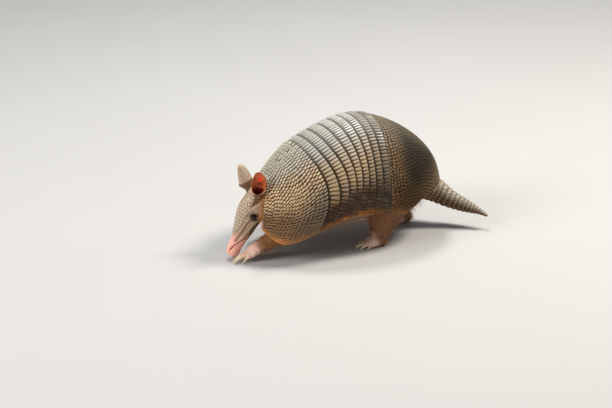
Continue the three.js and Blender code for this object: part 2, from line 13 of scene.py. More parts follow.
import bpy
import numpy as np
from mathutils import Matrix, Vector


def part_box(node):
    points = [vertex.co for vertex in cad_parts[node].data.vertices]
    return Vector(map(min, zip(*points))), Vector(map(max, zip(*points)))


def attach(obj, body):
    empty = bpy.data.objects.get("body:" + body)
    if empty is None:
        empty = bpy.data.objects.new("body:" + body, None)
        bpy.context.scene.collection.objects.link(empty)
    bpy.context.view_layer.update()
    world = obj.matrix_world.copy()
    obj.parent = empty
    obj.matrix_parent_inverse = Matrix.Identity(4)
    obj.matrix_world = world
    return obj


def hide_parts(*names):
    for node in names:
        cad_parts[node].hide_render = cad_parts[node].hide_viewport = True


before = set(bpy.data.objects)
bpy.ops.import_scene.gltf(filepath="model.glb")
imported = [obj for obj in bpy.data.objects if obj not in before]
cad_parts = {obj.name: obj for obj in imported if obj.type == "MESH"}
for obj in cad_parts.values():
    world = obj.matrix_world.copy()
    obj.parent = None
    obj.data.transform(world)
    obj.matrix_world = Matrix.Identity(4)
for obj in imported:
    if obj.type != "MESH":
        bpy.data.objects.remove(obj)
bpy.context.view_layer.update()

LOG = logging.getLogger("armadillo")
MM = 1e-3
BODY = "root"
Array = np.ndarray
Mesh = bpy.types.Mesh
Object = bpy.types.Object
Material = bpy.types.Material
Socket = bpy.types.NodeSocket
Colour = tuple[float, float, float]
Point = tuple[float, float, float]
Span = tuple[float, float]
Line = tuple[Span, ...]
Rows = tuple[tuple[float, ...], ...]
LEFT = 1.0
RIGHT = -1.0
TINY = 1e-9
FAR = 9.0
ENDLESS = 1e9
FULL_TURN = 2 * math.pi
EYE_PLACE = (15.4, -160.6, 64)


class Seed(IntEnum):
    """Starting numbers of the repeatable noises."""

    CRUMPLE = 3
    LUMPS = 5
    PEBBLES = 6
    BROW = 8
    SHOULDER = 11
    BAND = 20
    HIP = 41
    CROWN = 61
    TAIL = 71
    NECK_FRINGE = 101
    RIM_FRINGE = 211
    BACK_BRISTLES = 307
    LEG_FUR = 401
    BELLY_FUR = 503


# Numbers of a hash that turns whole numbers into repeatable noise.
WORD = 0xFFFFFFFF
KEY_PRIMES = (374761393, 668265263, 2246822519)
SEED_PRIME = 3266489917
MIXERS = ((15, 2246822519), (13, 3266489917))
LAST_SHIFT = 16


# ---- Curves, noise and meshes ----


class Spline:
    """A natural cubic spline through rows of values, one row at each knot."""

    def __init__(self, knots: Sequence[float], values: Sequence) -> None:
        """Works out how the curve bends at its knots.

        Args:
            knots: Rising places along the curve.
            values: One number or one row of numbers for each knot.
        """
        self.knots = np.asarray(knots, float)
        self.single = np.ndim(values) == 1
        self.values = np.asarray(values, float).reshape(len(self.knots), -1)
        count = len(self.knots)
        steps = np.diff(self.knots)
        system = np.eye(count)
        turns = np.zeros_like(self.values)
        for i in range(1, count - 1):
            before, after = steps[i - 1], steps[i]
            system[i, i - 1 : i + 2] = before, 2 * (before + after), after
            rise = (self.values[i + 1] - self.values[i]) / after
            turns[i] = 6 * (rise - (self.values[i] - self.values[i - 1]) / before)
        self.bends = np.linalg.solve(system, turns)

    def __call__(self, place: Union[float, Array]) -> Array:
        """Evaluates the curve.

        Args:
            place: Where along the curve, of any shape.

        Returns:
            Values with the shape of place, and one more axis where the curve has rows.
        """
        place = np.asarray(place, float)
        i = np.clip(np.searchsorted(self.knots, place) - 1, 0, len(self.knots) - 2)
        width = (self.knots[i + 1] - self.knots[i])[..., None]
        b = (place - self.knots[i])[..., None] / width
        a = 1 - b
        bend = (a**3 - a) * self.bends[i] + (b**3 - b) * self.bends[i + 1]
        found = a * self.values[i] + b * self.values[i + 1] + bend * width * width / 6
        return found[..., 0] if self.single else found


def unit(vectors: Array) -> Array:
    """Vectors at length one."""
    return vectors / np.maximum(np.linalg.norm(vectors, axis=-1, keepdims=True), TINY)


def smooth(value: Array, low: float, high: float) -> Array:
    """A soft step from 0 at low to 1 at high."""
    t = np.clip((value - low) / (high - low), 0, 1)
    return t * t * (3 - 2 * t)


def bell(value: Array, width: float) -> Array:
    """A smooth hump of height 1 around 0."""
    return np.exp(-((value / width) ** 2))


def length_along(line: Array) -> Array:
    """Distance from a line's first point to each of its points."""
    return np.concatenate([[0], np.cumsum(np.linalg.norm(np.diff(line, axis=0), axis=-1))])


def circle(count: int) -> Array:
    """Evenly spread angles of a full turn."""
    return np.linspace(0, FULL_TURN, count, endpoint=False)


def scatter(keys: Sequence[Array], seed: int) -> Array:
    """Repeatable random numbers between 0 and 1 from whole-number keys.

    Args:
        keys: Arrays of whole numbers of one shape.
        seed: Chooses another set of numbers.

    Returns:
        One number for each entry of the keys.
    """
    total = np.full(np.shape(keys[0]), (seed * SEED_PRIME + 1) % (WORD + 1), np.uint64)
    for key, prime in zip(keys, KEY_PRIMES):
        total = total + np.asarray(key).astype(np.int64).astype(np.uint64) * np.uint64(prime)
    total = total & np.uint64(WORD)
    for shift, prime in MIXERS:
        total = ((total ^ (total >> np.uint64(shift))) * np.uint64(prime)) & np.uint64(WORD)
    return (total ^ (total >> np.uint64(LAST_SHIFT))).astype(float) / WORD


def cloud(points: Array, size: float, seed: int) -> Array:
    """Smooth noise between 0 and 1.

    Args:
        points: Places as rows of three numbers.
        size: The width of a lump.
        seed: Chooses another pattern.

    Returns:
        One number for each point.
    """
    places = points / size
    cell = np.floor(places)
    part = places - cell
    part = part * part * (3 - 2 * part)
    total = np.zeros(points.shape[:-1])
    for corner in np.ndindex(2, 2, 2):
        weight = np.prod(np.where(corner, part, 1 - part), axis=-1)
        keys = [cell[..., axis] + corner[axis] for axis in range(3)]
        total += weight * scatter(keys, seed)
    return total


def sheet_faces(rows: int, columns: int, joined: bool = False) -> Array:
    """Quads over a grid of points.

    Args:
        rows: How many rows of points there are.
        columns: How many points each row has.
        joined: Whether each row's last point joins its first.

    Returns:
        Point numbers, four for each quad.
    """
    last = columns if joined else columns - 1
    i, j = np.meshgrid(np.arange(rows - 1), np.arange(last), indexing="ij")
    here = i * columns + j
    aside = i * columns + (j + 1) % columns
    return np.stack([here, aside, aside + columns, here + columns], -1).reshape(-1, 4)


@dataclass
class Soup:
    """Points and faces that are gathered into one mesh."""

    points: list[Array] = field(default_factory=list)
    quads: list[Array] = field(default_factory=list)
    tris: list[Array] = field(default_factory=list)
    count: int = 0

    def sheet(self, grid: Array, joined: bool = False) -> None:
        """Adds a grid of points as a surface."""
        rows, columns = grid.shape[:2]
        self.quads.append(sheet_faces(rows, columns, joined) + self.count)
        self.points.append(grid.reshape(-1, 3))
        self.count += rows * columns

    def tube(self, grid: Array) -> None:
        """Adds rings of points as a closed tube with a point at each end.

        Args:
            grid: Rings by points by three.
        """
        rows, columns = grid.shape[:2]
        self.quads.append(sheet_faces(rows, columns, True) + self.count)
        ends = np.stack([grid[0].mean(0), grid[-1].mean(0)])
        first, last = self.count + rows * columns, self.count + rows * columns + 1
        j = np.arange(columns)
        k = (j + 1) % columns
        base = self.count + (rows - 1) * columns
        self.tris.append(np.stack([np.full(columns, first), k + self.count, j + self.count], -1))
        self.tris.append(np.stack([np.full(columns, last), j + base, k + base], -1))
        self.points.append(np.concatenate([grid.reshape(-1, 3), ends]))
        self.count += rows * columns + 2

    def mesh(self, name: str) -> Mesh:
        """The gathered surface as one mesh, still in millimetres of the design frame."""
        points = np.concatenate(self.points)
        faces = [f for f in (self.quads, self.tris) if f]
        return mesh_of(name, points, [np.concatenate(f) for f in faces])


def mesh_of(name: str, points: Array, faces: Sequence[Array]) -> Mesh:
    """Makes a mesh quickly from arrays.

    Args:
        name: The mesh's name.
        points: Rows of three numbers.
        faces: Arrays of point numbers, each with one count of corners.

    Returns:
        The new mesh, shaded smooth.
    """
    mesh = bpy.data.meshes.new(name)
    mesh.vertices.add(len(points))
    mesh.vertices.foreach_set("co", points.astype(np.float32).ravel())
    corners = np.concatenate([f.ravel() for f in faces]).astype(np.int32)
    sizes = np.concatenate([np.full(len(f), f.shape[1]) for f in faces])
    starts = np.concatenate([[0], np.cumsum(sizes)[:-1]]).astype(np.int32)
    mesh.loops.add(len(corners))
    mesh.loops.foreach_set("vertex_index", corners)
    mesh.polygons.add(len(sizes))
    mesh.polygons.foreach_set("loop_start", starts)
    mesh.polygons.foreach_set("use_smooth", np.ones(len(sizes), bool))
    mesh.update(calc_edges=True)
    mesh.validate()
    return mesh


def points_of(mesh: Mesh) -> Array:
    """The places of a mesh's points."""
    found = np.empty(len(mesh.vertices) * 3, np.float32)
    mesh.vertices.foreach_get("co", found)
    return found.reshape(-1, 3).astype(float)


def normals_of(mesh: Mesh) -> Array:
    """The outward directions at a mesh's points."""
    found = np.empty(len(mesh.vertices) * 3, np.float32)
    mesh.vertex_normals.foreach_get("vector", found)
    return found.reshape(-1, 3).astype(float)


@dataclass(frozen=True)
class Workshop:
    """Moves meshes from the design frame into the model's frame and makes them into objects of the animal.
    """

    shift: Array

    @classmethod
    def on_frame(cls, node: str, centre: Sequence[float]) -> "Workshop":
        """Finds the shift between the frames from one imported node.

        Args:
            node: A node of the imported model.
            centre: The middle of that node in the design frame.

        Returns:
            A workshop for that shift.
        """
        low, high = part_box(node)
        middle = (np.array(low) + np.array(high)) / 2
        return cls(middle - np.array(centre) * MM)

    def place(self, points: Array) -> Array:
        """Points of the design frame in metres of the model's frame."""
        return points * MM + self.shift

    def piece(
        self,
        mesh: Mesh,
        finish: Material,
        slot: str,
        nodes: Sequence[str] = (),
        marks: dict[str, Array] | None = None,
    ) -> Object:
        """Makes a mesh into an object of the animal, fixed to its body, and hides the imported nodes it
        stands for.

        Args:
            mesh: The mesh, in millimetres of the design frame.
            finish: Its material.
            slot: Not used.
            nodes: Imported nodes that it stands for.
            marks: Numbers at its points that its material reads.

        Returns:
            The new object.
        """
        places = self.place(points_of(mesh)).astype(np.float32)
        mesh.vertices.foreach_set("co", places.ravel())
        for name, values in (marks or {}).items():
            layer = mesh.attributes.new(name, "FLOAT", "POINT")
            layer.data.foreach_set("value", np.asarray(values, np.float32).ravel())
        mesh.materials.append(finish)
        mesh.update()
        made = bpy.data.objects.new(mesh.name, mesh)
        bpy.context.scene.collection.objects.link(made)
        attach(made, BODY)
        if nodes:
            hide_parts(*nodes)
        LOG.info("%s: %d faces", mesh.name, len(mesh.polygons))
        return made


# ---- Shader expressions ----

NOISE_ROUGHNESS = 0.55
MIX_INPUTS = (0, 6, 7)
MIX_RESULT = 2

class Value:
    """A number in a material that Python's operators can reckon with."""

    def __init__(self, graph: "Graph", socket: Socket) -> None:
        """Wraps one output socket."""
        self.graph = graph
        self.socket = socket

    def _math(self, operation: str, *others: Union["Value", float]) -> "Value":
        """Adds one Math node on this value and others."""
        inputs = dict(enumerate((self, *others)))
        made = self.graph.node("ShaderNodeMath", {"operation": operation}, inputs)
        return Value(self.graph, made.outputs[0])

    def __add__(self, other: Union["Value", float]) -> "Value":
        """Sum."""
        return self._math("ADD", other)

    __radd__ = __add__

    def __sub__(self, other: Union["Value", float]) -> "Value":
        """Difference."""
        return self._math("SUBTRACT", other)

    def __rsub__(self, other: float) -> "Value":
        """Difference from a number."""
        return (self * -1.0) + other

    def __mul__(self, other: Union["Value", float]) -> "Value":
        """Product."""
        return self._math("MULTIPLY", other)

    __rmul__ = __mul__

    def step(self, low: float, high: float) -> "Value":
        """A soft step from 0 at low to 1 at high."""
        settings = {"interpolation_type": "SMOOTHSTEP"}
        inputs = {"Value": self, "From Min": low, "From Max": high}
        made = self.graph.node("ShaderNodeMapRange", settings, inputs)
        return Value(self.graph, made.outputs["Result"])

    def clamped(self) -> "Value":
        """The value kept between 0 and 1."""
        made = self.graph.node("ShaderNodeClamp", {}, {"Value": self})
        return Value(self.graph, made.outputs["Result"])


class Graph:
    """The node graph of one material."""

    def __init__(self, name: str) -> None:
        """Starts an empty material."""
        self.material = bpy.data.materials.new(name)
        self.material.use_nodes = True
        self.tree = self.material.node_tree
        self.tree.nodes.clear()

    def node(self, kind: str, settings: dict, inputs: dict) -> bpy.types.Node:
        """Adds a node.

        Args:
            kind: The node's type.
            settings: Its properties, set before its sockets.
            inputs: Values, links or constants by socket name or number.

        Returns:
            The new node.
        """
        made = self.tree.nodes.new(kind)
        for key, value in settings.items():
            setattr(made, key, value)
        for key, value in inputs.items():
            self._feed(made.inputs[key], value)
        return made

    def _feed(self, socket: Socket, value: object) -> None:
        """Links or sets one input socket."""
        if isinstance(value, Value):
            self.tree.links.new(value.socket, socket)
        elif isinstance(value, Socket):
            self.tree.links.new(value, socket)
        elif isinstance(value, tuple) and len(value) == 3 and socket.type == "RGBA":
            socket.default_value = (*value, 1.0)
        else:
            socket.default_value = value

    def mark(self, name: str) -> Value:
        """A number stored at the mesh's points."""
        made = self.node("ShaderNodeAttribute", {"attribute_name": name}, {})
        return Value(self, made.outputs["Fac"])

    def where(self) -> Socket:
        """The place on the object, in metres."""
        return self.node("ShaderNodeTexCoord", {}, {}).outputs["Object"]

    def noise(self, per_metre: float, detail: float = 3.0) -> Value:
        """Soft noise between 0 and 1."""
        inputs = {"Vector": self.where(), "Scale": per_metre, "Detail": detail}
        inputs["Roughness"] = NOISE_ROUGHNESS
        return Value(self, self.node("ShaderNodeTexNoise", {}, inputs).outputs[0])

    def cells(self, per_metre: float) -> Value:
        """Distance to the edges of scattered cells."""
        inputs = {"Vector": self.where(), "Scale": per_metre}
        made = self.node("ShaderNodeTexVoronoi", {"feature": "DISTANCE_TO_EDGE"}, inputs)
        return Value(self, made.outputs["Distance"])

    def mix(
        self, share: Union[Value, float], first: object, second: object, blend: str = "MIX"
    ) -> Socket:
        """Mixes two colours.

        Args:
            share: How much of the second colour there is.
            first: A colour or a colour socket.
            second: A colour or a colour socket.
            blend: How they are combined.

        Returns:
            The mixed colour.
        """
        settings = {"data_type": "RGBA", "blend_type": blend}
        # A colour mix has its factor and colours at sockets of these numbers.
        made = self.node("ShaderNodeMix", settings, dict(zip(MIX_INPUTS, (share, first, second))))
        return made.outputs[MIX_RESULT]

    def ramp(self, place: Value, stops: Sequence[tuple[float, Colour]]) -> Socket:
        """A colour that changes with a value.

        Args:
            place: Where in the ramp.
            stops: Places and their colours, in rising order.

        Returns:
            The colour.
        """
        made = self.node("ShaderNodeValToRGB", {}, {"Fac": place})
        band = made.color_ramp
        while len(band.elements) < len(stops):
            band.elements.new(0.5)
        for element, (at, colour) in zip(band.elements, stops):
            element.position = at
            element.color = (*colour, 1.0)
        return made.outputs["Color"]

    def bump(
        self, height: Value, depth: float, strength: float = 1.0, under: object = None
    ) -> Socket:
        """A normal raised by a height.

        Args:
            height: The relief from 0 to 1.
            depth: What a height of one means, in metres.
            strength: How much of it is used.
            under: A normal that it adds to.

        Returns:
            The normal.
        """
        inputs = {"Height": height, "Distance": depth, "Strength": strength}
        if under is not None:
            inputs["Normal"] = under
        return self.node("ShaderNodeBump", {}, inputs).outputs["Normal"]

    def surface(self, inputs: dict) -> Material:
        """Ends the graph in one Principled surface and returns the material."""
        shader = self.node("ShaderNodeBsdfPrincipled", {}, inputs)
        self.node("ShaderNodeOutputMaterial", {}, {"Surface": shader.outputs[0]})
        return self.material


# ---- Finishes ----


@dataclass(frozen=True)
class ArmourFinish:
    """Horny scutes: pale tops, partly rubbed pale by use and partly painted highlight, dark seams between
    them, and painted shade that darkens the sides towards the rims.
    """

    name: str
    # From the top down the sides the scutes go from the ridge colour through the shoulder colour to the
    # flank colour. The pale top stands for painted light and the dark flank for painted shade.
    ridge: Colour = (0.33, 0.315, 0.275)
    shoulder: Colour = (0.46, 0.305, 0.14)
    flank: Colour = (0.10, 0.042, 0.011)
    # The orange rim is partly the rim's own horn colour and partly a painted glow of light through the thin
    # edge.
    rim: Colour = (0.74, 0.27, 0.04)
    seam: Colour = (0.012, 0.009, 0.006)
    ridge_seam: Colour = (0.10, 0.095, 0.08)
    # The pale tone of the scutes' tops: partly rubbed pale by use, partly painted highlight.
    worn_and_highlight_tone: Colour = (0.55, 0.52, 0.455)
    # A painted shade colour, laid where the rear mark says.
    back: Colour = (0.12, 0.088, 0.048)
    ochre: Colour = (0.46, 0.235, 0.08)
    dirt: Colour = (0.03, 0.022, 0.016)
    stops: tuple[float, ...] = (0.0, 0.24, 0.48, 0.62, 0.80, 0.95, 1.0)
    patches: Span = (55.0, 4.0)
    specks: Span = (900.0, 2.0)
    pores: Span = (2600.0, 2.0)
    pore_depth: float = 0.00014
    matt: float = 0.62
    gloss: float = 0.30
    shine: float = 0.40
    polish: float = 0.5
    polish_roughness: float = 0.25

    def _horn(self, graph: Graph, patch: Value, fine: Value) -> Socket:
        """The colour of the scutes' tops.

        Args:
            graph: The material's graph.
            patch: Broad noise.
            fine: Fine noise.

        Returns:
            The colour.
        """
        top, tint, flank = graph.mark("scute"), graph.mark("tint"), graph.mark("flank")
        # This ramp paints light and shade by height on the shell: a lit top, shaded flanks and a glowing
        # rim.
        tones = (self.ridge, self.ridge, self.shoulder, self.shoulder, self.flank, self.flank, self.rim)
        horn = graph.ramp((flank + (patch - 0.5) * 0.16).clamped(), tuple(zip(self.stops, tones)))
        stained = tint.step(0.55, 1.0) * flank.step(0.15, 0.45) * 0.35
        horn = graph.mix(stained, horn, self.ochre)
        # Painted shade: the rear mark darkens these places towards the back colour.
        horn = graph.mix(graph.mark("rear"), horn, self.back)
        grime = (tint * 0.5 + fine * 0.3 + (patch - 0.5) * 0.7).clamped()
        horn = graph.mix(grime, horn, self.dirt, "SOFT_LIGHT")
        # Pale tops, partly rubbed by use and partly painted highlight where light fell on them.
        worn_and_highlight_tone = top.step(0.6, 1.0) * graph.mark("wear_and_highlight") * (patch * 0.9 + 0.2)
        return graph.mix(worn_and_highlight_tone.clamped(), horn, self.worn_and_highlight_tone)

    def build(self) -> Material:
        """Makes the material."""
        graph = Graph(self.name)
        top, flank = graph.mark("scute"), graph.mark("flank")
        patch, fine = graph.noise(*self.patches), graph.noise(*self.specks)
        horn = self._horn(graph, patch, fine)
        # The seams also go from a lighter tone on the lit top to near black on the shaded sides, as painted
        # light and shade.
        seam = graph.mix(flank.step(0.1, 0.42), self.ridge_seam, self.seam)
        seam = graph.mix(flank.step(0.9, 1.0), seam, self.flank)
        high = 1 - flank.step(0.3, 0.75)
        roughness = self.matt - top.step(0.1, 0.8) * high * self.gloss + (fine - 0.5) * 0.2 + flank * 0.2
        fresh = high * (1 - graph.mark("rear") * 0.7)
        relief = fine * 0.5 + graph.noise(*self.pores) * 0.5
        return graph.surface(
            {
                "Base Color": graph.mix(top.step(0.10, 0.72), seam, horn),
                "Roughness": roughness.clamped(),
                "Normal": graph.bump(relief, self.pore_depth, 0.8),
                "Specular IOR Level": self.shine,
                "Coat Weight": (top.step(0.2, 0.8) * fresh * self.polish).clamped(),
                "Coat Roughness": self.polish_roughness,
            }
        )


@dataclass(frozen=True)
class SkinFinish:
    """Leathery skin: brown with fine scales, pink at the snout and feet, with a painted glow of red light
    through the near ear, and painted shade under the head and in the folds.
    """

    name: str
    base: Colour = (0.27, 0.145, 0.07)
    face: Colour = (0.47, 0.325, 0.215)
    # A painted shade colour: under the head, on the temples behind the brow and at the ears' roots.
    cheek: Colour = (0.15, 0.07, 0.03)
    snout: Colour = (0.92, 0.46, 0.36)
    mouth: Colour = (0.26, 0.02, 0.015)
    pale: Colour = (0.56, 0.40, 0.27)
    # The near ear's red and its brighter glow are painted light shining through the thin ear; far_ear is
    # the ear's own colour.
    ear: Colour = (0.50, 0.125, 0.035)
    glow: Colour = (0.85, 0.05, 0.01)
    far_ear: Colour = (0.46, 0.355, 0.255)
    leg: Colour = (0.26, 0.10, 0.03)
    foot: Colour = (0.80, 0.52, 0.41)
    # A dark colour: painted shade in the folds, round the eyes, in the nostrils and beside the ears'
    # hollows, and the dark joints between the skin's scales.
    crease_shade_and_seams: Colour = (0.07, 0.03, 0.016)
    mottle: Colour = (0.22, 0.13, 0.08)
    ear_blotch: Colour = (0.24, 0.065, 0.03)
    # Painted shade deep in the ear's hollow.
    ear_canal: Colour = (0.09, 0.008, 0.006)
    ear_speckle: Colour = (0.24, 0.15, 0.09)
    neutral: Colour = (0.5, 0.5, 0.5)
    scales_per_metre: float = 420.0
    scale_depth: float = 0.0004
    wrinkle_depth: float = 0.0003
    glow_depth: Point = (0.006, 0.002, 0.001)

    def _ear(self, graph: Graph) -> Socket:
        """The colour of the ears: red with the light through the near one, speckled on the far one."""
        near = graph.mix(graph.noise(160.0).step(0.4, 0.7), self.ear, self.ear_blotch)
        near = graph.mix(graph.mark("glow"), near, self.glow)
        near = graph.mix(graph.mark("canal"), near, self.ear_canal)
        speckles = graph.noise(420.0).step(0.48, 0.7)
        return graph.mix(graph.mark("ear_far"), near, graph.mix(speckles, self.far_ear, self.ear_speckle))

    def build(self) -> Material:
        """Makes the material."""
        graph = Graph(self.name)
        patch, fine = graph.noise(90.0, 4.0), graph.noise(700.0)
        scale = graph.cells(self.scales_per_metre)
        colour = graph.mix((patch * 0.6).clamped(), self.base, self.mottle)
        # cheek lays painted shade under the head, on the temples and at the ears' roots.
        regions = {
            "leg": self.leg,
            "foot": self.foot,
            "face": self.face,
            "cheek": self.cheek,
            "snout": self.snout,
        }
        for name, paint in regions.items():
            colour = graph.mix(graph.mark(name), colour, paint)
        colour = graph.mix(graph.mark("ear"), colour, self._ear(graph))
        colour = graph.mix(graph.mark("pale") * 0.75, colour, self.pale)
        bare, scaly = 1 - graph.mark("ear"), graph.mark("scaly")
        # The seams between the skin's scales are dark joints.
        seams = (1 - scale.step(0.0, 0.12)) * (scaly * 0.38 + 0.1) * bare
        colour = graph.mix(seams, colour, self.crease_shade_and_seams)
        # Painted shade in the folds, round the eyes, in the nostrils and beside the ears' hollows.
        colour = graph.mix(graph.mark("crease_shade_and_seams"), colour, self.crease_shade_and_seams)
        colour = graph.mix(graph.mark("mouth"), colour, self.mouth)
        colour = graph.mix(((patch - 0.5) * 0.9 + 0.5).clamped(), colour, self.neutral, "SOFT_LIGHT")
        normal = graph.bump(scale.step(0.0, 0.45) * bare * (scaly * 0.75 + 0.25), self.scale_depth, 0.7)
        normal = graph.bump(fine, self.wrinkle_depth, 0.5, normal)
        roughness = 0.56 + (fine - 0.5) * 0.2 - graph.mark("snout") * 0.16
        return graph.surface(
            {
                "Base Color": colour,
                "Roughness": roughness.clamped(),
                "Normal": normal,
                "Subsurface Weight": 0.12,
                "Subsurface Radius": self.glow_depth,
                "Subsurface Scale": 1.0,
            }
        )


@dataclass(frozen=True)
class HornFinish:
    """Claw horn: ivory with fine lengthwise grain, pinker at the root."""

    name: str
    tip: Colour = (0.84, 0.70, 0.54)
    root: Colour = (0.66, 0.36, 0.24)
    stain: Colour = (0.32, 0.2, 0.12)
    grain_depth: float = 0.0002
    glow_depth: Point = (0.004, 0.002, 0.001)

    def build(self) -> Material:
        """Makes the material."""
        graph = Graph(self.name)
        grain = graph.noise(1500.0, 4.0)
        colour = graph.mix(graph.mark("along").step(0.0, 0.45), self.root, self.tip)
        stained = (grain * 0.5 + graph.noise(120.0) * 0.4).clamped()
        return graph.surface(
            {
                "Base Color": graph.mix(stained, colour, self.stain, "SOFT_LIGHT"),
                "Roughness": (0.3 + grain * 0.2).clamped(),
                "Normal": graph.bump(grain, self.grain_depth, 0.5),
                "Subsurface Weight": 0.15,
                "Subsurface Radius": self.glow_depth,
                "Subsurface Scale": 1.0,
            }
        )


@dataclass(frozen=True)
class EyeFinish:
    """A wet dark eye: deep brown with a black pupil."""

    name: str
    iris: Colour = (0.018, 0.009, 0.005)
    flecks: Colour = (0.05, 0.024, 0.012)
    pupil: Colour = (0.002, 0.002, 0.002)
    rim: Colour = (0.012, 0.007, 0.005)

    def build(self) -> Material:
        """Makes the material."""
        graph = Graph(self.name)
        ring = graph.mark("ring")
        fleck = graph.noise(2500.0)
        iris = graph.mix(fleck, self.iris, self.flecks)
        colour = graph.mix(ring.step(0.42, 0.5), self.pupil, iris)
        return graph.surface(
            {
                "Base Color": graph.mix(ring.step(0.86, 1.0), colour, self.rim),
                "Roughness": (0.05 + fleck * 0.03).clamped(),
                "Specular IOR Level": 0.3,
                "Coat Weight": 0.25,
                "Coat Roughness": 0.03,
            }
        )


@dataclass(frozen=True)
class HairFinish:
    """Coarse bristles, darker at the root."""

    name: str
    root: Colour
    tip: Colour
    fade: Colour = (0.4, 0.33, 0.26)

    def build(self) -> Material:
        """Makes the material."""
        graph = Graph(self.name)
        tint = graph.mark("tint")
        colour = graph.mix(graph.mark("along").step(0.0, 0.8), self.root, self.tip)
        colour = graph.mix((tint * 0.8).clamped(), colour, self.fade, "SOFT_LIGHT")
        return graph.surface({"Base Color": colour, "Roughness": (0.5 + tint * 0.15).clamped()})


@dataclass(frozen=True)
class FloorFinish:
    """A plain pale matt floor."""

    name: str
    dark: Colour = (0.47, 0.46, 0.445)
    light: Colour = (0.50, 0.49, 0.475)

    def build(self) -> Material:
        """Makes the material."""
        graph = Graph(self.name)
        colour = graph.mix(graph.noise(3.0, 2.0), self.dark, self.light)
        return graph.surface({"Base Color": colour, "Roughness": 0.85})


# ---- Carapace ----


@dataclass(frozen=True)
class ShellShape:
    """The carapace as a row of leaning rings, from the nape at 0 to the tail at 1."""

    places: tuple[float, ...] = (0.0, 0.1, 0.2, 0.42, 0.62, 0.8, 0.92, 1.0)
    rings: Rows = (
        (-136, 113.5, -152, 46, 29, -6),
        (-108, 139, -131, 31, 61, 7),
        (-88, 153, -88, 46, 75, 15),
        (-25, 177, -30, 62, 79, 8),
        (28, 179, 24, 59, 80, -5),
        (91, 148, 48, 53, 77, -4),
        (124, 110, 58, 52, 68, 0),
        (135, 79, 66, 56, 55, 0),
    )
    curl: float = math.radians(108)
    fullness: float = 0.92
    step: float = 2e-3

    def curve(self) -> Spline:
        """Ridge y and z, rim y and z, half width and bow along the shell."""
        return Spline(self.places, self.rings)

    def point(self, along: Array, round_: Array) -> Array:
        """Points of the surface.

        Args:
            along: Places from the nape at 0 to the tail at 1.
            round_: Places from the right rim at -1 over the ridge to the left rim at 1.

        Returns:
            Points in millimetres.
        """
        along, round_ = np.broadcast_arrays(along, round_)
        ring = self.curve()(along)
        angle = np.abs(round_) * self.curl
        drop = (1 - np.cos(angle)) / (1 - math.cos(self.curl))
        x = np.sign(round_) * ring[..., 4] * np.maximum(np.sin(angle), 0) ** self.fullness
        y = ring[..., 0] + (ring[..., 2] - ring[..., 0]) * drop
        y = y + ring[..., 5] * np.sin(math.pi * drop)
        z = ring[..., 1] + (ring[..., 3] - ring[..., 1]) * drop
        return np.stack([x, y, z], -1)

    def normal(self, along: Array, round_: Array) -> Array:
        """Outward directions of the surface."""
        ahead = self.point(along + self.step, round_) - self.point(along - self.step, round_)
        aside = self.point(along, round_ + self.step) - self.point(along, round_ - self.step)
        return unit(np.cross(aside, ahead))

    def lifted(self, along: Array, round_: Array, lift: Array) -> Array:
        """Points raised off the surface."""
        lift = np.broadcast_to(lift, np.broadcast(along, round_).shape)
        return self.point(along, round_) + self.normal(along, round_) * lift[..., None]


@dataclass(frozen=True)
class ScuteLattice:
    """Rows of scutes, each row shifted by half a scute."""

    seed: int
    jitter: float = 0.16

    def read(self, across: Array, along: Array) -> tuple[Array, Array, Array]:
        """Finds the scute at each place.

        Args:
            across: Row coordinate, one unit per row.
            along: Coordinate along a row, one unit per scute.

        Returns:
            How far inside its scute a place is, from 0 at a seam to about 1, the scute's own random
            number, and how far across its row the place is from the scute's middle.
        """
        row = np.floor(across)
        nearest, second = np.full(across.shape, FAR), np.full(across.shape, FAR)
        tint, lean = np.zeros(across.shape), np.zeros(across.shape)
        for step in (-1, 0, 1):
            line = row + step
            shift = 0.5 * (line % 2)
            column = np.floor(along - shift + 0.5)
            for side in (-1, 0, 1):
                place = column + side
                roll, wander, own = (scatter([line, place], self.seed + k) for k in range(3))
                across_by = across - (line + 0.5) - (roll - 0.5) * self.jitter
                along_by = along - (place + shift) - (wander - 0.5) * self.jitter
                distance = np.hypot(across_by, along_by)
                closer = distance < nearest
                second = np.where(closer, nearest, np.minimum(second, distance))
                tint, lean = np.where(closer, own, tint), np.where(closer, across_by, lean)
                nearest = np.where(closer, distance, nearest)
        return second - nearest, tint, lean


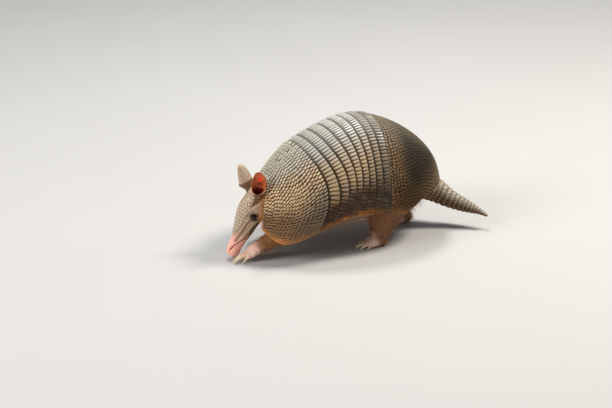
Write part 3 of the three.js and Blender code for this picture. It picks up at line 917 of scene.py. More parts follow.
@dataclass(frozen=True)
class Mosaic:
    """Scutes set out one by one in rows counted from the lower rims, so that columns end at the ridge."""

    rows: Array
    pitches: Array
    width: float
    seed: int
    jitter: float = 0.2
    equal: float = 1e-6

    def read(self, run: Array, side: Array) -> tuple[Array, Array, Array, Array]:
        """Finds the scute at each place.

        Args:
            run: Millimetres from the first row.
            side: Millimetres from the ridge.

        Returns:
            How far inside its scute a place is, the scute's own random number, and how far across and
            along its row the place is from the scute's middle.
        """
        shape = run.shape
        level = np.clip(np.searchsorted(self.rows, run.ravel()) - 1, 0, len(self.rows) - 1)
        half = np.array([self._half(run, side, at) for at in self.rows])
        across, along = run.ravel(), side.ravel()
        nearest, second = np.full(across.shape, FAR), np.full(across.shape, FAR)
        found = [np.zeros(across.shape) for _ in range(3)]
        for step in (-1, 0, 1, 2):
            line = np.clip(level + step, 0, len(self.rows) - 1)
            shift = 0.5 * (line % 2) + half[line] / self.width
            place = np.abs(along) / self.width - shift
            for side_step in (-1, 0, 1):
                number = np.round(place) + side_step
                inward = number + shift
                middle = np.where(inward < 0.5, 0.0, inward) * np.sign(along + TINY)
                keys = [line, number, np.sign(middle)]
                wander, roll, tint = (scatter(keys, self.seed + k) for k in range(3))
                off_b = along / self.width - middle - (wander - 0.5) * self.jitter
                off_a = (across - self.rows[line]) / self.pitches[line] - (roll - 0.5) * self.jitter
                distance = np.where(inward < -0.5, FAR, np.hypot(off_a, off_b))
                same = np.abs(distance - nearest) < self.equal
                closer = distance < nearest - self.equal
                runner_up = np.where(same, second, np.minimum(second, distance))
                second = np.where(closer, nearest, runner_up)
                for k, value in enumerate((tint, off_a, off_b)):
                    found[k] = np.where(closer, value, found[k])
                nearest = np.where(closer, distance, nearest)
        edge = (second - nearest).reshape(shape)
        return edge, found[0].reshape(shape), found[1].reshape(shape), found[2].reshape(shape)

    @staticmethod
    def _half(run: Array, side: Array, level: float) -> float:
        """How far the rim lies from the ridge along a row."""
        return float(np.interp(level, run[::-1, -1], side[::-1, -1]))


@dataclass(frozen=True)
class Relief:
    """What is drawn on a plate: how high it is and the numbers its finish reads."""

    height: Array
    scute: Array
    tint: Array
    # How much of the pale top tone a place takes: partly rubbed by use, partly painted highlight.
    wear_and_highlight: Array
    # How much painted shade darkens the place.
    rear: Array


class PlateKind(Enum):
    """The three patterns of the carapace."""

    SHOULDER = "shoulder"
    BAND = "band"
    HIP = "hip"


@dataclass(frozen=True)
class ShieldPattern:
    """How the scutes of a shield are laid out, in millimetres from its edge next to the bands."""

    rows: Line
    width: float
    relief: float
    jitter: float
    plain_round: Span
    plain_run: Span
    plain_share: float


SHIELDS = {
    PlateKind.SHOULDER: ShieldPattern(
        ((0, 6.0), (30, 5.5), (50, 4.5), (80, 3.9)), 4.9, 1.05, 0.2, (0.76, 0.92), (8, 34), 1.0
    ),
    PlateKind.HIP: ShieldPattern(
        ((0, 6.6), (10, 5.8), (24, 4.1), (200, 3.8)), 4.7, 0.5, 0.3, (0.74, 0.9), (4, 20), 0.7
    ),
}


@dataclass(frozen=True)
class BandPattern:
    """The bars of a movable band; shares are of the band's width or of the bars' pitch."""

    pitch: float = 5.0
    wander: float = 0.25
    half: float = 0.22
    widening: float = 0.17
    narrowing: float = 0.05
    soft: float = 0.12
    start: float = 0.13
    uneven: float = 0.05
    relief: float = 1.0
    front_dip: float = 0.5
    low_round: Span = (0.70, 0.86)
    low_fade: float = 0.65
    crumb: float = 2.6
    crumb_relief: float = 0.3
    # Painted shade on the rear bands: where along the shell it comes in and how strong it is.
    painted_shade_span: Span = (0.40, 0.6)
    painted_shade_strength: float = 0.85


@dataclass(frozen=True)
class Plate:
    """One plate of the carapace, from one place along it to another."""

    shell: ShellShape
    name: str
    kind: PlateKind
    first: float
    last: float
    rows: int
    columns: int
    seed: int
    thickness: float = 2.6
    raised: float = 0.9
    bead: float = 4.0
    band: BandPattern = BandPattern()
    levels: int = 40
    edge_drops: tuple[float, ...] = (1.0, 0.55, 0.12)
    rim_drops: tuple[float, ...] = (0.9, 1.9, 2.5, 3.0, 3.0, 3.0)
    rim_turns: tuple[float, ...] = (1.002, 1.0, 0.992, 0.98, 0.94, 0.90)
    fold: float = 1.5

    def _grid(self) -> tuple[Array, Array]:
        """Places along and round at every point of the plate's outside."""
        along = np.linspace(self.first, self.last, self.rows)
        round_ = np.linspace(-1, 1, self.columns)
        return np.meshgrid(along, round_, indexing="ij")

    def _measure(self, along: Array, round_: Array) -> tuple[Array, Array]:
        """Real distances on the plate.

        Args:
            along: Places along, in rows.
            round_: Places round, in columns.

        Returns:
            Millimetres from the plate's edge next to the bands, and millimetres from the ridge along
            the line of equal distance.
        """
        shoulder = self.kind is PlateKind.SHOULDER
        points, places = self.shell.point(along, round_), along
        if shoulder:
            points, places = points[::-1], along[::-1]
        ahead, aside = unit(np.gradient(points, axis=0)), unit(np.gradient(points, axis=1))
        slant = np.sum(ahead * aside, -1)
        straight = np.sqrt(np.maximum(1 - slant**2, 0.05))
        steps = np.linalg.norm(np.diff(points, axis=0), axis=-1) * straight[1:]
        run = np.concatenate([np.zeros((1, steps.shape[1])), np.cumsum(steps, 0)])
        levels = np.linspace(0, run.max(), self.levels)
        columns = range(along.shape[1])
        aside = np.empty((self.levels, along.shape[1]))
        for k, level in enumerate(levels):
            at = np.array([np.interp(level, run[:, j], places[:, j]) for j in columns])
            length = length_along(self.shell.point(at, round_[0]))
            aside[k] = length - length[along.shape[1] // 2]
        side = np.stack([np.interp(run[:, j], levels, aside[:, j]) for j in columns], axis=1)
        if shoulder:
            return run[::-1], side[::-1]
        if self.kind is PlateKind.BAND:
            return run, side[:1] + slant / straight * run
        return run, side

    def _rim(self, along: Array, round_: Array) -> tuple[Array, Array]:
        """Distances from the nearer rim, and along that rim."""
        points = self.shell.point(along, round_)
        steps = np.linalg.norm(np.diff(points, axis=1), axis=-1)
        length = np.concatenate([np.zeros((len(points), 1)), np.cumsum(steps, 1)], axis=1)
        inside = np.minimum(length, length[:, -1:] - length)
        return inside, np.broadcast_to(length_along(points[:, 0])[:, None], inside.shape)

    def _scutes(self, pattern: ShieldPattern, run: Array, side: Array) -> tuple[Array, Array, Array]:
        """The scutes of a shield.

        Args:
            pattern: How they are laid out.
            run: Millimetres from the edge next to the bands.
            side: Millimetres from the ridge.

        Returns:
            How far on top of its scute a place is, the scute's own number, and how far across its row
            the place is from the scute's middle.
        """
        reach = np.linspace(0, float(run.max()) + 1, 400)
        pitch = np.interp(reach, *zip(*pattern.rows))
        rows = np.cumsum((reach[1] - reach[0]) / pitch)
        waver = cloud(np.stack([run, side, side * 0], -1), 15.0, self.seed + 1) - 0.5
        if self.kind is PlateKind.SHOULDER:
            levels = np.interp(np.arange(0.5, rows[-1]), rows, reach)
            pitches = np.interp(levels, reach, pitch)
            mosaic = Mosaic(levels, pitches, pattern.width, self.seed, pattern.jitter)
            edge, tint, lean, beside_it = mosaic.read(run, side + waver * 1.5)
            scute, groove = smooth(edge, 0.02, 0.5), smooth(0.5 - np.abs(beside_it), 0.04, 0.34)
            return scute * (0.15 + 0.85 * groove) + 0.3 * groove * (1 - scute), tint, lean
        row, place = np.interp(run, reach, rows) + waver * 0.7, side / pattern.width + waver * 0.5
        edge, tint, lean = ScuteLattice(self.seed, pattern.jitter).read(row, place)
        return smooth(edge, 0.02, 0.55), tint, lean

    def _beaded(self, distance: Array, place: Array, made: Sequence[Array], relief: float) -> list[Array]:
        """Replaces scutes by one row of beads beside a free edge.

        Args:
            distance: How far each place is from the edge.
            place: Where it is along the edge.
            made: Scute, tint and height so far.
            relief: How high the scutes are.

        Returns:
            Scute, tint and height with the beads.
        """
        beads = ScuteLattice(self.seed + 7, 0.1)
        gap, tint, _ = beads.read(np.full(distance.shape, 0.5), place / self.bead)
        across = np.clip(distance / self.bead, 0, 1)
        dome = np.sin(math.pi * across) ** 0.6 * smooth(gap, 0.05, 0.6)
        drawn = (dome, tint, dome * relief * 1.25)
        return [np.where(distance < self.bead, new, old) for new, old in zip(drawn, made)]

    def _painted_shade_share(self, run: Array, turn: Array) -> Array:
        """How much painted shade each place of a shield takes: on the shoulder the lower part next to the
        bands, on the hip most of it, less near its edges and its ridge.

        Args:
            run: Millimetres from the edge next to the bands.
            turn: Distance from the ridge, 1 at the rim.

        Returns:
            Numbers from 0 to 1.
        """
        if self.kind is PlateKind.SHOULDER:
            return 0.75 * (1 - smooth(run, 8, 44)) * smooth(turn, 0.42, 0.72)
        rear = (0.1 + 0.9 * smooth(run, 8, 44)) * (0.12 + 0.88 * smooth(run[-1:] - run, 8, 56))
        rear = rear * (1 - 0.45 * smooth(turn, 0.6, 0.85))
        return rear * (0.55 + 0.45 * smooth(turn, 0.1, 0.35))

    def _shield_relief(self, along: Array, round_: Array) -> Relief:
        """The pattern of the shoulder or hip shield: scutes in rows and beads along its free edges."""
        run, side = self._measure(along, round_)
        turn = np.abs(round_)
        shoulder = self.kind is PlateKind.SHOULDER
        pattern = SHIELDS[self.kind]
        relief = pattern.relief
        scute, tint, lean = self._scutes(pattern, run, side)
        height = relief * (scute**0.8) * (0.8 + 0.4 * tint)
        height = height + relief * 0.45 * scute * lean * (-1.0 if shoulder else 1.0)
        # Low on the sides next to the bands the scutes' pattern and relief fade to a plain tone, standing
        # in for how shade hid them there: painted shade.
        plain = smooth(turn, *pattern.plain_round) * (1 - smooth(run, *pattern.plain_run))
        plain = plain * pattern.plain_share
        height = height * (1 - 0.6 * plain)
        scute = scute * (1 - plain) + plain * (0.55 + 0.25 * scute)
        made = [scute, tint, height]
        free_end = run[:1] - run if shoulder else run[-1:] - run
        for distance, place in (self._rim(along, round_), (free_end, side)):
            made = self._beaded(distance, place, made, relief)
        scute, tint, height = made
        # Painted shade on the shield.
        rear = self._painted_shade_share(run, turn)
        # Pale tops, strongest near the ridge: partly rubbed by use, partly painted highlight.
        wear_and_highlight = np.clip(0.62 - 0.5 * turn + 0.22 * tint, 0, 1)
        # Less of the pale top tone where the painted shade lies.
        if not shoulder:
            wear_and_highlight = wear_and_highlight * (1 - 0.7 * rear)
        return Relief(height, scute, tint, wear_and_highlight, rear)

    def _band_relief(self, along: Array, round_: Array) -> Relief:
        """The pattern of a movable band: a smooth strip in front and raised bars behind it."""
        run, side = self._measure(along, round_)
        band, share, turn = self.band, run / run[-1:], np.abs(round_)
        wander = (cloud(np.stack([side, run * 0, side * 0], -1), 9.0, self.seed) - 0.5) * band.wander
        place = side / band.pitch + wander
        number = np.floor(place)
        aside = np.abs(place - number - 0.5)
        tint = scatter([number, number * 0], self.seed)
        low = smooth(turn, *band.low_round)
        half = band.half + band.widening * smooth(share, 0.05, 0.8)
        half = half - band.narrowing * smooth(share, 0.88, 1.0)
        start = band.start + band.uneven * (tint - 0.5)
        ends = smooth(share, start - 0.05, start + 0.13) * smooth(1.0 - share, 0.0, 0.09)
        bar = smooth(half + band.soft - aside, 0.0, 2 * band.soft) * ends
        crumbs, _, _ = ScuteLattice(self.seed + 3, 0.5).read(run / band.crumb, side / band.crumb)
        crumbs = smooth(crumbs, 0.0, 0.5)
        height = band.relief * bar * (0.7 + 0.35 * share) * (1 - band.low_fade * low)
        height = height - band.front_dip * (1 - smooth(share, 0.0, 0.08)) + band.crumb_relief * low * crumbs
        strip = smooth(share, 0.03, 0.09) * (0.75 + 0.25 * np.cos(4 * math.pi * place))
        scute = np.maximum(bar, 0.34 * strip) * (1 - low) + low * (0.25 * bar + 0.45 * crumbs)
        # Pale bar tops, strongest along the ridge: partly rubbed by use, partly painted highlight.
        wear_and_highlight = np.clip(0.9 - 1.3 * turn**1.5 + 0.3 * tint, 0, 1) * bar * (1 - low)
        # The rear bands take painted shade.
        rear = np.full(run.shape, band.painted_shade_strength * float(smooth(np.float64(self.first), *band.painted_shade_span)))
        return Relief(height, scute, tint, wear_and_highlight * (1 - 0.8 * rear), rear)

    def build(self, shop: Workshop, finish: Material) -> Object:
        """Makes the plate with its edges rolled under.

        Args:
            shop: Places it in the model.
            finish: Its material.

        Returns:
            The plate.
        """
        along, round_ = self._grid()
        if self.kind is PlateKind.BAND:
            relief = self._band_relief(along, round_)
        else:
            relief = self._shield_relief(along, round_)
        share = (along - self.first) / (self.last - self.first)
        low = cloud(self.shell.point(along, round_), 26.0, self.seed) - 0.5
        lift = self.raised * share**2 + relief.height + 0.5 * low
        drops = -self.thickness * np.array(self.edge_drops)
        rims, turns = -np.array(self.rim_drops), np.array(self.rim_turns)
        edge = np.ones(len(drops))
        full_along = np.concatenate([self.first * edge, along[:, 0], self.last * edge])
        full_round = np.concatenate([-turns[::-1], round_[0], turns])
        a, r = np.meshgrid(full_along, full_round, indexing="ij")
        drop_a = np.concatenate([drops, np.zeros(self.rows), drops[::-1]])[:, None]
        drop_r = np.concatenate([rims[::-1], np.zeros(self.columns), rims])[None]
        fade = np.clip(1 + (drop_a + drop_r) / self.fold, 0, 1)

        def padded(values: Array) -> Array:
            """Values carried on over the rolled edges."""
            return np.pad(values, ((len(drops),) * 2, (len(rims),) * 2), mode="edge")

        lifts = padded(lift) * fade + drop_a + drop_r
        soup = Soup()
        soup.sheet(self.shell.lifted(a, r, np.maximum(lifts, -self.thickness - 0.6)))
        # flank drives the finish's painted light and shade, from the lit top to the shaded rims; rear
        # carries painted shade.
        marks = {
            "scute": padded(relief.scute) * (0.4 + 0.6 * fade),
            "tint": padded(relief.tint),
            "wear_and_highlight": padded(relief.wear_and_highlight) * fade,
            "flank": np.abs(np.clip(r, -1, 1)),
            "rear": padded(relief.rear),
        }
        return shop.piece(soup.mesh(self.name + "_scutes"), finish, "carapace", [self.name], marks)


@dataclass(frozen=True)
class Carapace:
    """The shoulder shield, eight movable bands and the hip shield."""

    shell: ShellShape = ShellShape()
    bands: int = 8
    bands_from: float = 0.2
    bands_to: float = 0.62
    gap: float = 0.0016
    shoulder_grid: tuple[int, int] = (122, 560)
    band_grid: tuple[int, int] = (30, 620)
    hip_grid: tuple[int, int] = (206, 460)

    def plates(self) -> list[Plate]:
        """The plates in order from the nape."""
        shell, start, end = self.shell, self.bands_from, self.bands_to
        shoulder = (PlateKind.SHOULDER, 0, start, *self.shoulder_grid, Seed.SHOULDER)
        hip = (PlateKind.HIP, end + self.gap, 1, *self.hip_grid, Seed.HIP)
        width = (end - start) / self.bands
        made = [Plate(shell, "scapular_shield", *shoulder)]
        for i in range(self.bands):
            first = start + width * i
            band = (PlateKind.BAND, first + self.gap, first + width, *self.band_grid, Seed.BAND + i)
            made.append(Plate(shell, f"band_{i + 1}", *band))
        made.append(Plate(shell, "pelvic_shield", *hip))
        return made

    def build(self, shop: Workshop) -> None:
        """Makes every plate."""
        middle = ArmourFinish("band_scutes").build()
        # The shoulder shield's finish is lighter: partly its own tone, partly painted light where the front
        # of the shell was lit.
        front = ArmourFinish(
            "shoulder_scutes",
            ridge=(0.54, 0.48, 0.38),
            shoulder=(0.74, 0.52, 0.28),
            flank=(0.30, 0.145, 0.045),
        ).build()
        # The hip shield's finish is darker: partly its own tone, partly painted shade over the hip.
        rear = ArmourFinish(
            "hip_scutes",
            ridge=(0.28, 0.225, 0.145),
            shoulder=(0.26, 0.155, 0.06),
            flank=(0.15, 0.068, 0.018),
            rim=(0.50, 0.22, 0.06),
            ridge_seam=(0.045, 0.04, 0.032),
            worn_and_highlight_tone=(0.25, 0.20, 0.13),
            back=(0.032, 0.0195, 0.008),
            gloss=0.16,
            shine=0.13,
            polish=0.08,
        ).build()
        finishes = {PlateKind.SHOULDER: front, PlateKind.BAND: middle, PlateKind.HIP: rear}
        for plate in self.plates():
            plate.build(shop, finishes[plate.kind])


# ---- Round bodies of flesh ----


@dataclass(frozen=True)
class Tube:
    """A round body along a line. Stations are x, y, z, half width and half depth."""

    stations: Rows
    step: float = 1e-3
    blunt: float = 0.02

    def line(self) -> Spline:
        """Centre, half width and half depth along the line from 0 to 1."""
        return Spline(np.linspace(0, 1, len(self.stations)), self.stations)

    def frame(self, share: Array) -> tuple[Array, Array, Array, Array]:
        """Sections of the body.

        Args:
            share: Places from 0 to 1.

        Returns:
            Stations, and the directions along, across and up at each.
        """
        line = self.line()
        here = line(share)
        after, before = line(np.minimum(share + self.step, 1)), line(np.maximum(share - self.step, 0))
        along = unit(after[..., :3] - before[..., :3])
        level = np.array([1.0, 0, 0])
        across = unit(level - along * (along @ level)[..., None])
        return here, along, across, np.cross(along, across)

    def rings(self, count: int, sides: int, bulge: float, ends: int = 5) -> Array:
        """Rings of points with rounded ends.

        Args:
            count: Rings along the body.
            sides: Points in each ring.
            bulge: How far an end bulges, as a share of its depth.
            ends: Smaller rings at each end.

        Returns:
            Rings by points by three.
        """
        turn = np.linspace(math.pi / 2, 0, ends, endpoint=False)
        small, shift = np.cos(turn) + self.blunt, np.sin(turn)
        share = np.concatenate([np.zeros(ends), np.linspace(0, 1, count), np.ones(ends)])
        scale = np.concatenate([small, np.ones(count), small[::-1]])
        shift = np.concatenate([-shift, np.zeros(count), shift[::-1]])
        here, along, across, up = self.frame(share)
        angle = circle(sides)[None, :, None]
        half = (here[:, 3] * scale)[:, None, None]
        deep = (here[:, 4] * scale)[:, None, None]
        middle = here[:, :3] + along * (shift * here[:, 4] * bulge)[:, None]
        grid = middle[:, None] + across[:, None] * np.cos(angle) * half
        return grid + up[:, None] * np.sin(angle) * deep

    def near(self, points: Array, steps: int = 24) -> tuple[Array, Array]:
        """Where points are beside the body.

        Args:
            points: Rows of three numbers.
            steps: How many places of the line are tried.

        Returns:
            Distance from the line as a share of the body's half width there, and the place along it.
        """
        line = self.line()(np.linspace(0, 1, steps))
        best = np.full(len(points), ENDLESS)
        place = np.zeros(len(points))
        for k, station in enumerate(line):
            apart = np.linalg.norm(points - station[:3], axis=-1) / station[3:5].mean()
            place = np.where(apart < best, k / (steps - 1), place)
            best = np.minimum(best, apart)
        return best, place


@dataclass(frozen=True)
class HeadShape:
    """The head: a tapered body on a straight axis from the snout up and back to the nape."""

    snout: Point = (0, -188, 13)
    pitch: float = math.radians(59)
    stations: Rows = (
        (-5, -3.8, 7.4, 7.0),
        (0, -3.6, 9.2, 9.2),
        (8, -3.0, 9.4, 9.8),
        (20, -2.8, 10.8, 11.0),
        (32, -2.6, 13.2, 13.4),
        (45, -1.4, 16.4, 16.2),
        (58, -1.0, 19.4, 19.0),
        (72, -1.6, 21.8, 21.0),
        (86, -3.2, 21.6, 20.6),
        (98, -5.4, 18.0, 16.8),
    )
    eye: Span = (57.8, 2.8)
    flattening: float = 6.2
    flat_at: float = 87.0
    flat_over: float = 19.0
    bulge: float = 0.35
    blunt: float = 0.02

    def axes(self) -> tuple[Array, Array]:
        """The directions along the head and up from it."""
        cos, sin = math.cos(self.pitch), math.sin(self.pitch)
        return np.array([0, cos, sin]), np.array([0, -sin, cos])

    def curve(self) -> Spline:
        """Height of the middle, half width and half depth along the head."""
        return Spline([s[0] for s in self.stations], [s[1:] for s in self.stations])

    def sunk(self, along: Array, angle: Array) -> Array:
        """How much flatter the brow is than the rounded body, in millimetres."""
        hump = bell(along - self.flat_at, self.flat_over)
        return self.flattening * hump * np.maximum(np.cos(angle), 0) ** 1.5

    def point(self, along: Array, angle: Array, lift: Array) -> Array:
        """Points of the surface.

        Args:
            along: Millimetres from the snout.
            angle: Turn from the crown, in radians.
            lift: Height off the surface.

        Returns:
            Points in millimetres.
        """
        axis, up = self.axes()
        ring = self.curve()(along)
        lift = lift - self.sunk(along, angle)
        x = np.sin(angle) * (ring[..., 1] + lift)
        rise = ring[..., 0] + np.cos(angle) * (ring[..., 2] + lift)
        point = np.array(self.snout) + along[..., None] * axis + rise[..., None] * up
        return point + x[..., None] * np.array([1.0, 0, 0])

    def read(self, points: Array) -> tuple[Array, Array, Array]:
        """Coordinates on the head: along it, up from its axis, and to the left."""
        axis, up = self.axes()
        off = points - np.array(self.snout)
        return off @ axis, off @ up, points[..., 0]

    def rings(self, count: int = 110, sides: int = 90, ends: int = 7) -> Array:
        """The head as closed rings with rounded ends.

        Args:
            count: Rings along the head.
            sides: Points in each ring.
            ends: Smaller rings at each end.

        Returns:
            Rings by points by three.
        """
        first, last = self.stations[0], self.stations[-1]
        turn = np.linspace(math.pi / 2, 0, ends, endpoint=False)
        before = first[0] - np.sin(turn) * first[3] * self.bulge
        after = last[0] + np.sin(turn[::-1]) * last[3] * self.bulge
        along = np.concatenate([before, np.linspace(first[0], last[0], count), after])
        small = np.cos(turn) + self.blunt
        scale = np.concatenate([small, np.ones(count), small[::-1]])
        ring = self.curve()(np.clip(along, first[0], last[0]))
        angle = circle(sides)
        axis, up = self.axes()
        middle = np.array(self.snout) + along[:, None] * axis + ring[:, :1] * up
        sunk = self.sunk(along[:, None], angle[None])
        x = np.sin(angle)[None] * ((ring[:, 1] * scale)[:, None] - sunk)
        rise = np.cos(angle)[None] * ((ring[:, 2] * scale)[:, None] - sunk)
        return middle[:, None] + x[..., None] * np.array([1.0, 0, 0]) + rise[..., None] * up


@dataclass(frozen=True)
class Ear:
    """A thin upright leaf curled round its hollow."""

    node: str
    root: Point
    tip: Point
    facing: Point
    half: float = 9.8
    thickness: float = 1.9
    wrap: Span = (1.7, 0.6)
    closed: float = math.pi
    leaf: Span = (0.2, 0.93)
    fullness: float = 0.7
    set_back: float = 0.6
    buried: float = -0.22

    def axes(self) -> tuple[Array, Array]:
        """The directions up the ear and out of its hollow."""
        up = unit(np.array(self.tip) - np.array(self.root))
        front = np.array(self.facing)
        return up, unit(front - up * (front @ up))

    def canal(self) -> Array:
        """The middle of the hollow at its root."""
        up, front = self.axes()
        return np.array(self.root) + front * self.half * self.set_back * 0.7 + up * 2.0

    def _outline(self, share: Array) -> tuple[Array, Array, Array]:
        """The leaf's width, how far it curls and how its tip thins, from root to tip."""
        crown = np.sqrt(np.clip(1 - np.clip((share - 0.8) / 0.2, 0, 1) ** 3.2, 0.0, 1))
        low, high = self.leaf
        leaf = np.sin(math.pi * (low + (high - low) * np.clip(share, 0, 1))) ** self.fullness
        leaf = leaf * np.maximum(crown, 0.05) * (0.6 + 0.4 * smooth(share, -0.1, 0.26))
        wrap = self.wrap[0] + (self.wrap[1] - self.wrap[0]) * share
        wrap = wrap + (self.closed - self.wrap[0]) * (1 - smooth(share, 0.12, 0.37))
        return leaf, wrap, crown

    @staticmethod
    def _drawn(share: Array, aside: Array, angle: Array) -> dict[str, tuple[Array, Array]]:
        """What is drawn on the ear.

        Args:
            share: Places from root to tip.
            aside: Places across a face, from -1 to 1.
            angle: The leaf's turn at each place.

        Returns:
            The finish's numbers on the outer and the inner face.
        """
        up = share[:, None]
        glow = bell(aside, 0.36)[None] * bell(up - 0.56, 0.15)
        none = np.zeros(glow.shape)
        canal = bell(aside, 0.34)[None] * bell(up - 0.36, 0.08)
        canal = np.maximum(canal, 1 - smooth(up, 0.12, 0.24))
        leafy, ring = none + smooth(up, 0.24, 0.3), none + bell(up - 0.26, 0.05)
        # glow is painted light shining through the ear, canal is painted shade deep in its hollow, and
        # cheek is painted shade on the outside of its root.
        return {
            "glow": (none, glow),
            "canal": (none, canal),
            "ear": (leafy, none + 1),
            "pale": (ring * smooth(np.abs(angle), 1.2, 1.9), none),
            "cheek": (0.8 * (1 - leafy), none),
        }

    def build(self, rows: int = 72, columns: int = 36) -> tuple[Array, dict[str, Array]]:
        """Makes the leaf.

        Args:
            rows: Rings from root to tip.
            columns: Points across each face.

        Returns:
            Rings of points, and the numbers the finish reads.
        """
        root, rise = np.array(self.root), np.array(self.tip) - np.array(self.root)
        up, front = self.axes()
        across = np.cross(up, front)
        share = np.linspace(self.buried, 1, rows)
        leaf, wrap, crown = self._outline(share)
        radius = self.half * leaf / np.sin(np.minimum(wrap, math.pi / 2))
        aside = np.linspace(-1, 1, columns)
        angle = aside[None] * wrap[:, None]
        ray = np.sin(angle)[..., None] * across - np.cos(angle)[..., None] * front
        centre = root + share[:, None] * rise + (radius * self.set_back)[:, None] * front
        edge = np.abs(aside)[None]
        skin = self.thickness / 2 * (1 - 0.45 * edge**3) * np.maximum(crown, 0.3)[:, None]
        vein = 0.22 * np.cos(9 * angle) * smooth(share, 0.0, 0.2)[:, None] * (1 - edge)
        outer = centre[:, None] + ray * (radius[:, None] + skin + vein)[..., None]
        inner = centre[:, None] + ray * (radius[:, None] - skin + vein)[..., None]
        drawn = self._drawn(share, aside, angle)
        marks = {name: np.concatenate([out, into[:, ::-1]], 1) for name, (out, into) in drawn.items()}
        return np.concatenate([outer, inner[:, ::-1]], 1), marks


@dataclass(frozen=True)
class Toe:
    """One toe of a foot: place across, lead over the knuckles, claw length and thickness."""

    across: float
    lead: float
    claw: float
    thick: float


FORE_TOES = (Toe(-0.8, 2, 10, 2.3), Toe(-0.28, 7, 16, 3.1), Toe(0.28, 7, 17, 3.2), Toe(0.82, 0, 12, 2.6))
HIND_TOES = (
    Toe(-0.92, 0, 9, 2.2),
    Toe(-0.5, 6, 11, 2.7),
    Toe(0.0, 8, 12, 2.9),
    Toe(0.5, 5, 11, 2.7),
    Toe(0.94, -3, 9, 2.2),
)


@dataclass(frozen=True)
class Foot:
    """A palm or sole with toes fanned from its knuckles and a claw on each toe."""

    node: str
    side: float
    toes: tuple[Toe, ...]
    wrist: Point
    knuckle: Point
    half: float
    wrist_deep: float
    knuckle_deep: float
    fan: float
    toe_length: float = 9.0
    claw_rings: int = 26
    claw_sides: int = 14
    swellings: Line = ((0, 1.05), (0.35, 0.92), (0.65, 1.08), (0.85, 1.0), (1, 0.86))

    def palm(self) -> Tube:
        """The palm or sole."""
        wrist, knuckle = np.array(self.wrist), np.array(self.knuckle)
        middle = wrist + (knuckle - wrist) * 0.55
        deep = self.wrist_deep + (self.knuckle_deep - self.wrist_deep) * 0.6
        return Tube(
            (
                (*wrist, self.half * 0.8, self.wrist_deep),
                (*middle, self.half * 0.94, deep),
                (*knuckle, self.half, self.knuckle_deep),
            )
        )

    def line(self, toe: Toe) -> tuple[Array, Array, Array, Array]:
        """Where a toe starts, where its claw starts and ends, and which way it points."""
        knuckle = np.array(self.knuckle, float)
        start = knuckle + [self.side * toe.across * self.half * 0.72, -toe.lead * 0.35, 0]
        heading = unit(np.array([self.side * toe.across * self.fan, -1.0, 0]))
        claw = start + heading * (self.toe_length * 0.55 + toe.lead * 0.5)
        claw[2] = knuckle[2] + (toe.thick - knuckle[2]) * 0.38
        tip = claw + heading * toe.claw
        tip[2] = 0.2
        return start, claw, tip, heading

    def flesh(self) -> list[Array]:
        """The palm and the toes as closed rings."""
        made = [self.palm().rings(14, 40, 0.6)]
        for toe in self.toes:
            start, claw, _, heading = self.line(toe)
            root, end = start - heading * 3, claw + heading * 1.5
            thick = toe.thick + 1.0
            stations = []
            for t, size in self.swellings:
                stations.append((*(root + (end - root) * t), thick * size, thick * size))
            made.append(Tube(tuple(stations)).rings(16, 20, 0.4))
        return made

    def claws(self, soup: Soup) -> Array:
        """Adds the claws to a soup.

        Args:
            soup: Gathers their surfaces.

        Returns:
            The place along its claw of every point added.
        """
        marks = []
        share = np.linspace(0, 1, self.claw_rings)
        angle = circle(self.claw_sides)
        keel = 1 + 0.10 * np.cos(angle) ** 4 * (np.sin(angle) > 0)
        shape = np.sign(np.sin(angle)) * np.abs(np.sin(angle)) ** 0.9
        taper = np.maximum(1 - share, 0) ** 0.62
        for toe in self.toes:
            _, claw, tip, heading = self.line(toe)
            root = claw - heading
            centre = root + (tip - root) * share[:, None]
            centre[:, 2] += np.sin(math.pi * share) * toe.claw * 0.13
            along = unit(np.gradient(centre, axis=0))
            across = unit(np.cross(along, [0, 0, 1.0]))
            up = np.cross(across, along)
            half = 0.18 + (toe.thick * 0.82 - 0.18) * taper
            deep = 0.22 + (toe.thick - 0.22) * taper
            grid = centre[:, None] + across[:, None] * (np.cos(angle)[None] * half[:, None])[..., None]
            grid = grid + up[:, None] * ((shape * keel)[None] * deep[:, None])[..., None]
            grid[..., 2] = np.maximum(grid[..., 2], 0.05)
            soup.tube(grid)
            marks.append(np.concatenate([np.repeat(share, self.claw_sides), [0, 1]]))
        return np.concatenate(marks)


